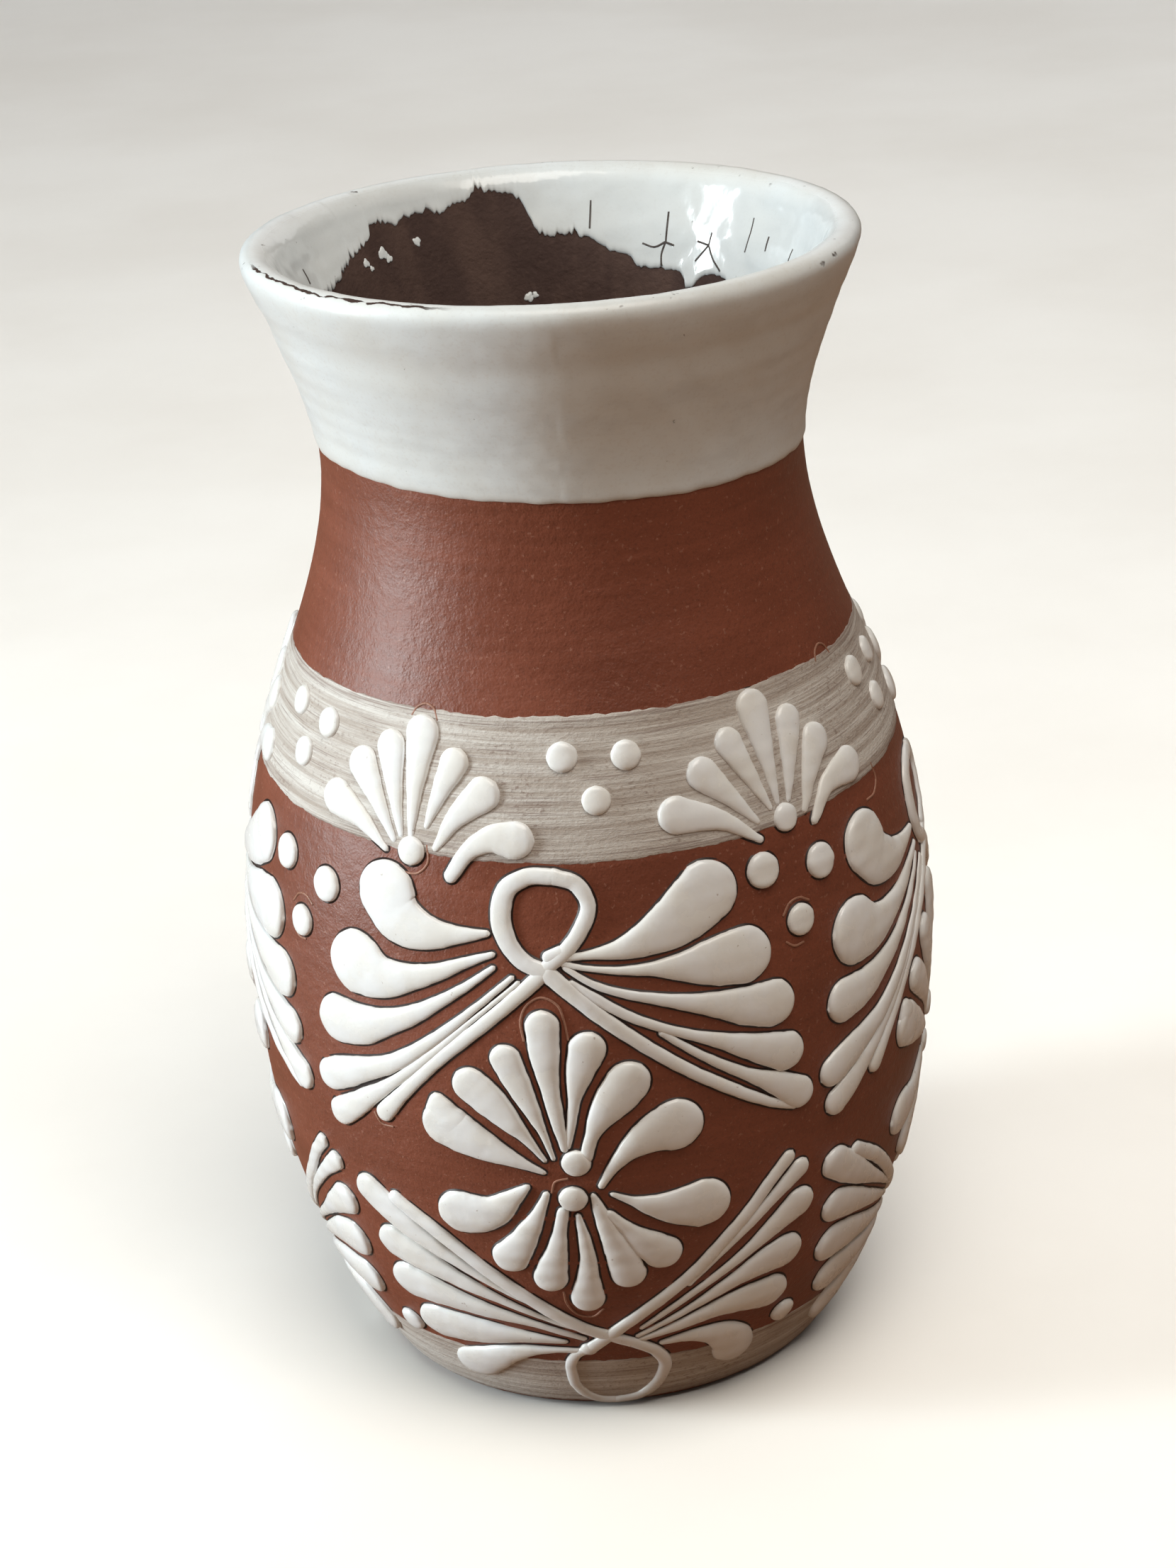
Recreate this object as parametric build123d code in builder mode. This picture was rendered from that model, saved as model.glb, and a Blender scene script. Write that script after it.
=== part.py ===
"""Wheel-thrown earthenware vase with white glaze, washed bands and piped relief, in millimetres.

The base stands on Z = 0 and the pot's axis is +Z.  Angles go round the pot in degrees: 0 faces -Y,
and they grow towards +X.  The clay body is one hollow pot.  Everything else lies on it, face to
face: a glaze over the lip, two thin washed bands, and strokes and drops of thick white enamel.
"""
import os
from math import cos, radians, sin

from build123d import *

# ---- Driving dimensions of the pot -------------------------------------------------------------
total_height = 200.0        # glaze included
wall = 5.0                  # measured level, so a little less across a sloping wall
floor_thickness = 8.0
floor_corner = 7.0          # rounding between the inner wall and the floor

foot_radius = 40.0          # where the outer wall would meet the ground
foot_slope = 0.62           # radius gained per mm of height
foot_edge = 2.2             # rounding of the foot's outer edge
foot_ring_width = 9.0
foot_recess = 2.0

belly_radius = 59.6
belly_height = 75.0
shoulder_radius = 50.5
shoulder_slope = -0.40
shoulder_below_waist = 39.0
waist_radius = 40.2
neck_rise = 35.6            # waist up to the lip
lip_radius = 51.6
lip_slope = 0.38
lip_round = 3.0             # height over which the lip rounds off

# ---- Coats -------------------------------------------------------------------------------------
glaze_thickness = 0.4
glaze_above_waist = 1.7     # lower edge of the glaze on the outside
glaze_inside_drop = 11.0    # how far the glaze runs down inside the lip
wash_thickness = 0.2
shoulder_wash_below = 13.5  # band's edges, measured from the shoulder station
shoulder_wash_above = 7.5
foot_wash_top = 13.5
relief_thickness = 1.3

# ---- Where the decoration sits: level of each motif's centre, and its place round the pot ------
fan_below_shoulder = 13.0
fan_places = ((-96.0, 2.0), (-30.5, 0.0), (36.2, 0.0), (110.0, 0.0), (186.0, 0.0))  # angle, lift
shoulder_dots_above = 2.3
shoulder_dots_angles = (-60.3, 2.5, 73.9, 148.0, -132.0)
upper_bow_above_belly = 19.0
belly_dots_above_belly = 29.3
flower_below_belly = 19.0
lower_bow_level = 20.6
foot_dots_level = 16.5
quarter_turn = 90.0
upper_bow_angle = -7.5
belly_dots_angle = 36.2
flower_angle = -5.0
lower_bow_angle = -0.8
foot_dots_angle = 43.5

lip_height = total_height - glaze_thickness
waist_height = lip_height - neck_rise
shoulder_height = waist_height - shoulder_below_waist
rim_height = lip_height - lip_round
glaze_edge = waist_height + glaze_above_waist
glaze_inner_edge = lip_height - glaze_inside_drop
shoulder_wash_low = shoulder_height - shoulder_wash_below
shoulder_wash_high = shoulder_height + shoulder_wash_above

# Stations of the outer wall from foot to lip: height, radius, slope.
STATIONS = (
    (0.0, foot_radius, foot_slope),
    (belly_height, belly_radius, 0.0),
    (shoulder_height, shoulder_radius, shoulder_slope),
    (waist_height, waist_radius, 0.0),
    (lip_height, lip_radius, lip_slope),
)

# ---- Motifs ------------------------------------------------------------------------------------
# A stroke is the places its brush passed, from thin tip to round head: degrees from the motif's
# centre, mm above it, and half the stroke's width.  One place alone is a round drop.
FAN = (
    ((0.0, 0.0, 2.4),),
    ((-5.3, -1.2, 0.6), (-12.5, 2.9, 1.8), (-18.6, 5.0, 3.0)),
    ((-4.5, 1.1, 0.5), (-8.7, 6.6, 1.7), (-13.4, 10.8, 2.8)),
    ((-2.3, 2.8, 0.5), (-4.7, 9.0, 1.5), (-7.3, 14.3, 2.5)),
    ((-0.3, 3.5, 0.6), (-0.5, 10.5, 1.6), (-0.5, 17.8, 3.0)),
    ((2.2, 3.6, 0.5), (4.2, 9.3, 1.5), (6.8, 14.2, 2.5)),
    ((4.8, 0.6, 0.6), (8.2, 6.0, 1.8), (12.2, 9.8, 2.8)),
    ((7.0, -2.2, 0.8), (11.0, 2.2, 1.7), (18.5, 3.2, 3.0)),
)
SHOULDER_DOTS = (((-5.8, 0.0, 2.5),), ((5.9, -0.2, 2.5),), ((0.0, -6.6, 2.4),))
BELLY_DOTS = (((-6.0, 1.0, 3.0),), ((6.0, -0.9, 3.0),), ((0.0, -9.0, 2.7),))
FOOT_DOTS = (((0.0, 0.0, 2.3),),)
UPPER_BOW = (
    # Loop, as a left and a right limb that meet at its top and cross at its foot.
    ((0.0, 0.0, 1.4), (-5.4, 4.0, 1.5), (-6.8, 10.0, 1.6), (-4.6, 14.3, 1.5), (1.0, 15.6, 1.4)),
    ((0.0, 0.4, 1.3), (3.4, 3.0, 1.2), (6.0, 6.6, 1.2), (7.3, 11.0, 1.3), (5.2, 14.6, 1.3),
     (0.0, 15.6, 1.3)),
    # Ribbon ends.
    ((-0.5, -0.4, 1.2), (-6.8, -6.4, 1.0), (-13.4, -12.5, 0.9), (-20.8, -19.7, 1.0),
     (-29.1, -29.2, 1.6)),
    ((0.5, -0.6, 1.4), (7.5, -7.2, 1.3), (17.5, -16.0, 1.2), (27.5, -23.6, 1.1),
     (38.5, -30.9, 1.0)),
    # Left wing, top to bottom.
    ((-9.2, 6.0, 0.6), (-15.0, 5.2, 1.6), (-20.5, 5.0, 3.3), (-27.0, 9.4, 5.4)),
    ((-8.3, 2.6, 0.5), (-17.5, -1.3, 1.4), (-26.5, -3.7, 3.3), (-33.0, -2.9, 5.4)),
    ((-8.3, 0.3, 0.5), (-17.5, -6.5, 1.1), (-27.5, -12.0, 2.4), (-37.5, -14.2, 4.2)),
    ((-5.6, -1.0, 0.4), (-17.5, -12.1, 0.7), (-30.0, -20.8, 1.7), (-40.5, -25.6, 2.8)),
    ((-12.5, -9.6, 0.3), (-20.0, -17.0, 0.6), (-29.5, -25.7, 1.1), (-39.0, -32.4, 2.5)),
    # Right wing, top to bottom.
    ((4.5, 2.6, 0.7), (12.5, 3.2, 1.7), (20.0, 6.0, 3.8), (27.0, 10.0, 5.3)),
    ((7.5, 0.2, 0.4), (15.0, -0.6, 1.0), (23.0, -1.2, 2.9), (32.3, -1.5, 4.8)),
    ((5.2, -1.3, 0.4), (14.0, -5.1, 0.8), (25.0, -8.3, 2.0), (36.8, -11.2, 4.1)),
    ((5.0, -3.0, 0.5), (12.5, -8.5, 0.7), (25.0, -14.4, 1.2), (38.8, -20.6, 3.4)),
    ((17.5, -12.5, 0.4), (27.5, -19.8, 0.8), (35.0, -25.0, 1.6), (41.3, -29.0, 2.7)),
)
FLOWER = (
    ((0.7, 3.3, 2.4),),
    ((-0.2, -3.8, 2.4),),
    # Upper petals, left to right.
    ((-4.6, 1.4, 0.4), (-11.0, 4.6, 1.9), (-17.0, 7.5, 3.6), (-20.7, 9.3, 4.1)),
    ((-4.3, 3.8, 0.4), (-8.3, 10.0, 1.5), (-12.5, 14.7, 2.9), (-15.3, 17.3, 3.2)),
    ((-2.9, 4.6, 0.4), (-5.2, 12.0, 1.2), (-7.8, 18.5, 2.2), (-9.4, 22.6, 2.6)),
    ((-1.3, 7.2, 0.5), (-2.3, 15.0, 1.3), (-3.2, 24.0, 2.5), (-3.3, 28.6, 2.8)),
    ((0.2, 8.0, 0.5), (1.0, 14.5, 1.0), (2.2, 20.0, 2.1), (3.5, 24.4, 3.1)),
    ((2.2, 4.8, 1.0), (3.6, 9.0, 1.3), (5.8, 13.0, 2.4), (9.6, 18.0, 3.7)),
    ((4.5, -1.2, 0.6), (7.5, 3.6, 1.3), (12.0, 7.2, 3.0), (16.8, 8.9, 4.7)),
    # Lower petals, left to right.
    ((-7.6, -1.7, 0.6), (-11.5, -5.3, 2.0), (-16.0, -7.9, 3.6), (-19.3, -8.2, 4.3)),
    ((-4.5, -3.0, 0.6), (-7.2, -9.0, 1.5), (-9.8, -13.8, 2.5), (-11.8, -16.6, 3.2)),
    ((-1.9, -6.2, 1.0), (-3.2, -12.5, 1.4), (-4.6, -18.2, 2.5), (-5.3, -20.9, 2.9)),
    ((0.5, -7.6, 0.5), (1.2, -14.5, 1.1), (1.3, -20.0, 1.7), (0.9, -25.6, 2.9)),
    ((3.2, -3.8, 0.5), (4.5, -8.5, 1.2), (6.3, -14.0, 2.1), (8.3, -20.4, 3.0)),
    ((5.7, -7.8, 1.0), (9.5, -12.2, 1.9), (14.2, -16.5, 3.4)),
    ((6.4, -3.4, 0.4), (13.0, -6.4, 2.1), (17.5, -7.3, 3.6), (21.2, -7.6, 4.8)),
)
LOWER_BOW = (
    # Loop, as a left and a right limb that meet at its bottom.
    ((-6.5, -4.4, 1.0), (-8.4, -8.0, 1.0), (-8.2, -12.0, 1.0), (-5.2, -15.7, 1.0),
     (1.0, -16.9, 1.1)),
    ((0.0, 0.0, 1.2), (5.6, -2.6, 1.2), (10.0, -5.8, 1.2), (11.4, -10.2, 1.2), (8.0, -15.0, 1.2),
     (0.0, -16.9, 1.1)),
    # Ribbon ends.
    ((0.0, 0.3, 1.2), (-9.2, 5.4, 1.3), (-19.2, 13.4, 1.3), (-36.5, 27.0, 1.4)),
    ((-4.1, -3.1, 1.5), (0.0, 0.2, 1.3), (5.8, 4.7, 1.3), (15.8, 13.2, 1.2), (32.8, 32.1, 1.2)),
    # Left wing, top to bottom.
    ((-22.0, 12.4, 0.5), (-29.2, 17.2, 1.3), (-36.0, 22.0, 2.4), (-42.2, 26.4, 3.0)),
    ((-6.0, 1.9, 0.4), (-19.2, 7.9, 0.8), (-29.2, 12.3, 2.0), (-39.2, 16.3, 3.5)),
    ((-4.9, -0.6, 0.5), (-14.2, 2.8, 0.8), (-24.2, 5.4, 1.7), (-38.4, 7.7, 3.9)),
    ((-8.7, -1.5, 0.5), (-19.2, -0.6, 1.9), (-29.2, -0.9, 3.4), (-35.2, -1.1, 3.9)),
    ((-6.2, -4.2, 0.7), (-14.0, -4.1, 1.0), (-21.2, -6.2, 2.1), (-30.2, -10.4, 3.9)),
    # Right wing, top to bottom.
    ((20.8, 15.2, 0.4), (25.8, 20.4, 0.8), (30.8, 25.0, 1.2), (35.3, 28.9, 1.8)),
    ((6.3, 1.2, 0.4), (15.8, 7.9, 0.6), (25.8, 14.6, 1.1), (35.8, 21.6, 3.1)),
    ((5.8, -0.5, 0.4), (15.8, 4.6, 0.7), (25.8, 9.4, 1.9), (34.0, 11.7, 3.6)),
    ((7.5, -1.3, 0.4), (15.8, 1.3, 1.2), (25.8, 3.1, 2.6), (32.3, 3.0, 3.7)),
    ((11.2, -3.2, 0.5), (19.3, -3.0, 1.9), (24.8, -5.3, 3.2), (27.1, -8.8, 3.9)),
)

stroke_reach = 14.0         # a stroke's prism runs this far each side of its plane
seam_turn = 129.05          # from XZ, so that the seam of each turned shape misses every stroke
seam_plane = Plane.XZ.rotated((0.0, 0.0, seam_turn))


def wall_at(height: float) -> tuple[float, float]:
    """Radius and slope of the outer wall at a height: a cubic between its two nearest stations."""
    spans = list(zip(STATIONS, STATIONS[1:]))
    low, high = next((span for span in spans if height <= span[1][0]), spans[-1])
    rise = high[0] - low[0]
    t = (height - low[0]) / rise
    start, end = rise * low[2], rise * high[2]
    step = t * t * (3 - 2 * t)
    radius = low[1] + (high[1] - low[1]) * step + start * t * (1 - t) ** 2 - end * t * t * (1 - t)
    slope = 6 * t * (1 - t) * (high[1] - low[1]) + start * (1 - t) * (1 - 3 * t)
    slope = (slope + end * t * (3 * t - 2)) / rise
    return radius, slope


def draw_wall(low: float, high: float, outwards: float) -> None:
    """Draw the outer wall's line between two heights, moved outwards, or inwards if negative."""
    levels = [low] + [station[0] for station in STATIONS if low < station[0] < high] + [high]
    for bottom, top in zip(levels, levels[1:]):
        third = (top - bottom) / 3
        low_radius, low_slope = wall_at(bottom)
        high_radius, high_slope = wall_at(top)
        Bezier(
            (low_radius + outwards, bottom),
            (low_radius + outwards + low_slope * third, bottom + third),
            (high_radius + outwards - high_slope * third, top - third),
            (high_radius + outwards, top),
        )


def draw_lip(coat: float) -> None:
    """Draw the rounded lip from the outer wall over to the inner wall, thicker by a coat."""
    outer = wall_at(rim_height)[0] + coat
    inner = wall_at(rim_height)[0] - wall - coat
    outer_corner = lip_radius + coat
    inner_corner = lip_radius - wall - coat
    crest = ((outer_corner + inner_corner) / 2, lip_height + coat)
    Bezier((outer, rim_height), (outer_corner, lip_height + coat), crest)
    Bezier(crest, (inner_corner, lip_height + coat), (inner, rim_height))


def wall_band(low: float, high: float, thickness: float, seam: Plane) -> Part:
    """A ring of even thickness that lies on the outer wall between two heights."""
    with BuildPart() as band:
        with BuildSketch(seam):
            with BuildLine():
                draw_wall(low, high, 0.0)
                draw_wall(low, high, thickness)
                for height in (low, high):
                    radius = wall_at(height)[0]
                    Line((radius, height), (radius + thickness, height))
            make_face()
        revolve(axis=Axis.Z)
    return band.part


def plane_on_wall(angle: float, height: float) -> Plane:
    """The plane that touches the outer wall, X going round the pot and Z pointing outwards."""
    radius, slope = wall_at(height)
    across, away = sin(radians(angle)), -cos(radians(angle))
    return Plane(
        origin=(radius * across, radius * away, height),
        x_dir=(-away, across, 0.0),
        z_dir=(across, away, -slope),
    )


def draw_stroke(centres: list[Vector], halves: list[float]) -> None:
    """Draw a stroke's outline: two smooth sides, and a round end at its tip and at its head."""
    last = len(centres) - 1
    left, right, ways = [], [], []
    for index, centre in enumerate(centres):
        ahead = centres[min(index + 1, last)] - centres[max(index - 1, 0)]
        way = ahead.normalized()
        side = Vector(-way.Y, way.X) * halves[index]
        left.append(centre + side)
        right.append(centre - side)
        ways.append(way)
    Spline(*left)
    ThreePointArc(left[-1], centres[-1] + ways[-1] * halves[-1], right[-1])
    Spline(*right)
    ThreePointArc(left[0], centres[0] - ways[0] * halves[0], right[0])


def stroke_solid(stroke: tuple, level: float, shell: Part) -> Part:
    """One stroke or drop, cut from the shell that the relief fills."""
    middle = stroke[len(stroke) // 2]
    plane = plane_on_wall((stroke[0][0] + stroke[-1][0]) / 2, level + middle[1])
    centres = []
    for angle, rise, _ in stroke:
        place = plane.to_local_coords(plane_on_wall(angle, level + rise).origin)
        centres.append(Vector(place.X, place.Y))
    halves = [half for _, _, half in stroke]
    with BuildPart() as solid:
        with BuildSketch(plane):
            if len(stroke) == 1:
                with Locations(centres[0]):
                    Circle(halves[0])
            else:
                with BuildLine():
                    draw_stroke(centres, halves)
                make_face()
        extrude(amount=stroke_reach, both=True)
        add(shell, mode=Mode.INTERSECT)
    return solid.part


def motif(strokes: tuple, level: float, washes: list[Part]) -> Part:
    """All strokes of a motif at angle 0, joined where they cross, resting on wall and washes.

    The shell that they are cut from has its seam on XZ, a quarter turn from the motif.
    """
    rises = [rise for stroke in strokes for _, rise, _ in stroke]
    halves = [half for stroke in strokes for _, _, half in stroke]
    low = max(level + min(rises) - 2 * max(halves), foot_edge)
    high = level + max(rises) + 2 * max(halves)
    shell = wall_band(low, high, relief_thickness, Plane.XZ)
    with BuildPart() as drawn:
        for stroke in strokes:
            add(stroke_solid(stroke, level, shell))
        for wash in washes:
            add(wash, mode=Mode.SUBTRACT)
    return drawn.part


def save(part: Part, name: str) -> None:
    """Name a finished piece and write its STEP file."""
    part.label = name
    export_step(part, f"parts/{name}.step")


def save_copies(name: str, drawn: Part, angles: tuple) -> None:
    """Write one piece for each angle round the pot, each a turned copy of the motif."""
    for number, angle in enumerate(angles, start=1):
        with BuildPart() as copy:
            add(drawn, rotation=(0.0, 0.0, angle))
        save(copy.part, f"{name}_{number}")


os.makedirs("parts", exist_ok=True)

# ---- Clay body: one hollow pot with a ring foot --------------------------------------------------
foot_wall, foot_wall_slope = wall_at(foot_edge)
foot_corner = foot_wall - foot_wall_slope * foot_edge
ring_inside = foot_corner - foot_edge - foot_ring_width
corner_top = floor_thickness + floor_corner
corner_wall, corner_slope = wall_at(corner_top)
floor_edge = corner_wall - wall - corner_slope * floor_corner
with BuildPart() as clay_body:
    with BuildSketch(seam_plane):
        with BuildLine():
            draw_wall(foot_edge, rim_height, 0.0)
            draw_lip(0.0)
            draw_wall(corner_top, rim_height, -wall)
            Bezier(
                (corner_wall - wall, corner_top),
                (floor_edge, floor_thickness),
                (floor_edge - floor_corner, floor_thickness),
            )
            Polyline(
                (floor_edge - floor_corner, floor_thickness),
                (0.0, floor_thickness),
                (0.0, foot_recess),
                (ring_inside - foot_recess, foot_recess),
                (ring_inside, 0.0),
                (foot_corner - foot_edge, 0.0),
            )
            Bezier((foot_corner - foot_edge, 0.0), (foot_corner, 0.0), (foot_wall, foot_edge))
        make_face()
    revolve(axis=Axis.Z)
save(clay_body.part, "clay_body")

# ---- Neck glaze: outside of the neck, over the lip and a little way down inside ------------------
glaze_edge_wall = wall_at(glaze_edge)[0]
glaze_inner_wall = wall_at(glaze_inner_edge)[0] - wall
with BuildPart() as neck_glaze:
    with BuildSketch(seam_plane):
        with BuildLine():
            for coat in (0.0, glaze_thickness):
                draw_wall(glaze_edge, rim_height, coat)
                draw_lip(coat)
                draw_wall(glaze_inner_edge, rim_height, -wall - coat)
            Line((glaze_edge_wall, glaze_edge), (glaze_edge_wall + glaze_thickness, glaze_edge))
            Line(
                (glaze_inner_wall, glaze_inner_edge),
                (glaze_inner_wall - glaze_thickness, glaze_inner_edge),
            )
        make_face()
    revolve(axis=Axis.Z)
save(neck_glaze.part, "neck_glaze")

# ---- Washed bands --------------------------------------------------------------------------------
shoulder_wash = wall_band(shoulder_wash_low, shoulder_wash_high, wash_thickness, seam_plane)
save(shoulder_wash, "shoulder_wash")
foot_wash = wall_band(foot_edge, foot_wash_top, wash_thickness, seam_plane)
save(foot_wash, "foot_wash")

# ---- Relief --------------------------------------------------------------------------------------
fan_level = shoulder_height - fan_below_shoulder
fans = {}
for number, (angle, lift) in enumerate(fan_places, start=1):
    if lift not in fans:
        fans[lift] = motif(FAN, fan_level + lift, [shoulder_wash])
    with BuildPart() as shoulder_fan:
        add(fans[lift], rotation=(0.0, 0.0, angle))
    save(shoulder_fan.part, f"shoulder_fan_{number}")

quarters = tuple(quarter_turn * turn for turn in range(4))
shoulder_dots = motif(SHOULDER_DOTS, shoulder_height + shoulder_dots_above, [shoulder_wash])
save_copies("shoulder_dots", shoulder_dots, shoulder_dots_angles)
upper_bow = motif(UPPER_BOW, belly_height + upper_bow_above_belly, [shoulder_wash])
save_copies("upper_bow", upper_bow, tuple(upper_bow_angle + turn for turn in quarters))
belly_dots = motif(BELLY_DOTS, belly_height + belly_dots_above_belly, [])
save_copies("belly_dots", belly_dots, tuple(belly_dots_angle + turn for turn in quarters))
flower = motif(FLOWER, belly_height - flower_below_belly, [])
save_copies("flower", flower, tuple(flower_angle + turn for turn in quarters))
lower_bow = motif(LOWER_BOW, lower_bow_level, [foot_wash])
save_copies("lower_bow", lower_bow, tuple(lower_bow_angle + turn for turn in quarters))
foot_dot = motif(FOOT_DOTS, foot_dots_level, [foot_wash])
save_copies("foot_dot", foot_dot, tuple(foot_dots_angle + turn for turn in quarters))
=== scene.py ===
"""Looks of the brown-slip vase: white-glazed neck, washed bands and piped white relief.

Shapes are worked out in millimetres and become metres when a mesh is made. Angles go round the
pot in degrees: 0 faces -Y, and they grow towards +X. Heights are above the base.
"""
import logging
import math
from dataclasses import dataclass, field, replace
from enum import Enum

import bpy
import numpy as np
from mathutils import Matrix, Vector


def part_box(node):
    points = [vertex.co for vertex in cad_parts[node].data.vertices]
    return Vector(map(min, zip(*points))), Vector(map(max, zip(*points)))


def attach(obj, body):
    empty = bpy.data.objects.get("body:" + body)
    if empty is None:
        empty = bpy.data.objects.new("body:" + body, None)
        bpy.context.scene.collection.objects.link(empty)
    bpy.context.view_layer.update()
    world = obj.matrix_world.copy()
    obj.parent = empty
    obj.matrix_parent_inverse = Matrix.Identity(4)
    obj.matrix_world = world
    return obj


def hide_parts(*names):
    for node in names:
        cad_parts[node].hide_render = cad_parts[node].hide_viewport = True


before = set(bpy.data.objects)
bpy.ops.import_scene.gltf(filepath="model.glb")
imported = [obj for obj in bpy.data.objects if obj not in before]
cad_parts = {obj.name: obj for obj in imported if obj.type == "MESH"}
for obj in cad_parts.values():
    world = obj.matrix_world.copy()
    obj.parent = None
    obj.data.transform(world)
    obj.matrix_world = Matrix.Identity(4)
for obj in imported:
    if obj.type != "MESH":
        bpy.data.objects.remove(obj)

log = logging.getLogger("vase")

MM = 0.001
BODY = "root"

Colour = tuple[float, float, float]
Station = tuple[float, float, float]      # degrees round the pot, height, half the width
Stroke = tuple[Station, ...]


def linear(red: float, green: float, blue: float) -> Colour:
    """Turn a display colour, 0 to 1 each, into the linear colour that shaders take."""
    return tuple(v / 12.92 if v <= 0.04045 else ((v + 0.055) / 1.055) ** 2.4
                 for v in (red, green, blue))


# ---- Curves and meshes ---------------------------------------------------------------------------

def cubic_through(at: np.ndarray, knots: np.ndarray, values: np.ndarray) -> np.ndarray:
    """Smooth curve through values: cubic Hermite spans whose end slopes are the local chords.

    Args:
        at: Places to read, any shape.
        knots: Growing places of the values.
        values: One value for each knot.

    Returns:
        The curve's values, shaped like `at`.
    """
    slopes = np.gradient(values, knots)
    span = np.clip(np.searchsorted(knots, at) - 1, 0, len(knots) - 2)
    width = knots[span + 1] - knots[span]
    t = (at - knots[span]) / width
    return (values[span] * (1 + 2 * t) * (1 - t) ** 2 + values[span + 1] * t * t * (3 - 2 * t)
            + width * slopes[span] * t * (1 - t) ** 2 - width * slopes[span + 1] * t * t * (1 - t))


def bezier(corners: tuple, count: int) -> np.ndarray:
    """Quadratic Bezier, start (1-t)^2 + 2 corner t(1-t) + end t^2, as radius and height rows."""
    start, corner, end = (np.array(point) for point in corners)
    t = np.linspace(0.0, 1.0, count)[:, None]
    return start * (1 - t) ** 2 + 2 * corner * t * (1 - t) + end * t * t


def ripple(at: np.ndarray, seed: int, length: float, waves: int = 4) -> np.ndarray:
    """Gentle unevenness between about -1 and 1: a sum of sines of seeded phase and wavelength.

    Args:
        at: Places to read, in the same unit as `length`.
        seed: Picks the phases and wavelengths.
        length: Longest wavelength.
        waves: How many sines are summed, each about 1.7 times finer than the last.

    Returns:
        The unevenness, shaped like `at`.
    """
    dice = np.random.default_rng(seed)
    total = np.zeros_like(at, dtype=float)
    for order in range(waves):
        turn = dice.uniform(0, 2 * math.pi)
        pitch = length / 1.7 ** order * dice.uniform(0.85, 1.15)
        total += np.sin(2 * math.pi * at / pitch + turn) / 1.35 ** order
    return total / waves ** 0.5 / 1.3


def round_ripple(degrees: np.ndarray, seed: int, lowest: int, waves: int = 6) -> np.ndarray:
    """Unevenness that closes on itself round the pot: sines with whole numbers of turns."""
    dice = np.random.default_rng(seed)
    total = np.zeros_like(degrees, dtype=float)
    turns = lowest
    for _ in range(waves):
        total += np.sin(np.radians(degrees) * turns + dice.uniform(0, 2 * math.pi))
        turns = max(turns + 1, round(turns * dice.uniform(1.35, 1.75)))
    return total / waves ** 0.5 / 1.2


def all_round(count: int) -> np.ndarray:
    """Evenly spread angles round the pot, in degrees."""
    return np.arange(count) * 360.0 / count


def eased(count: int) -> np.ndarray:
    """Shares from 0 to 1 that crowd towards both ends: (1 - cos) / 2."""
    return (1 - np.cos(np.pi * np.linspace(0, 1, count))) / 2


def quarter_round(from_edge: np.ndarray, roll: float) -> np.ndarray:
    """Share of its thickness that a coat has near its edge: a quarter circle as wide as a roll."""
    return np.sqrt(np.clip(1 - (1 - np.clip(from_edge / roll, 0, 1)) ** 2, 0, 1))


def tilted(height: float, tilt: tuple[float, float], degrees: np.ndarray,
           radius: float) -> np.ndarray:
    """Height of a level edge that is tipped by so much per millimetre of X and of Y."""
    turn = np.radians(degrees - 90.0)
    return height + tilt[0] * radius * np.cos(turn) + tilt[1] * radius * np.sin(turn)


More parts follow.
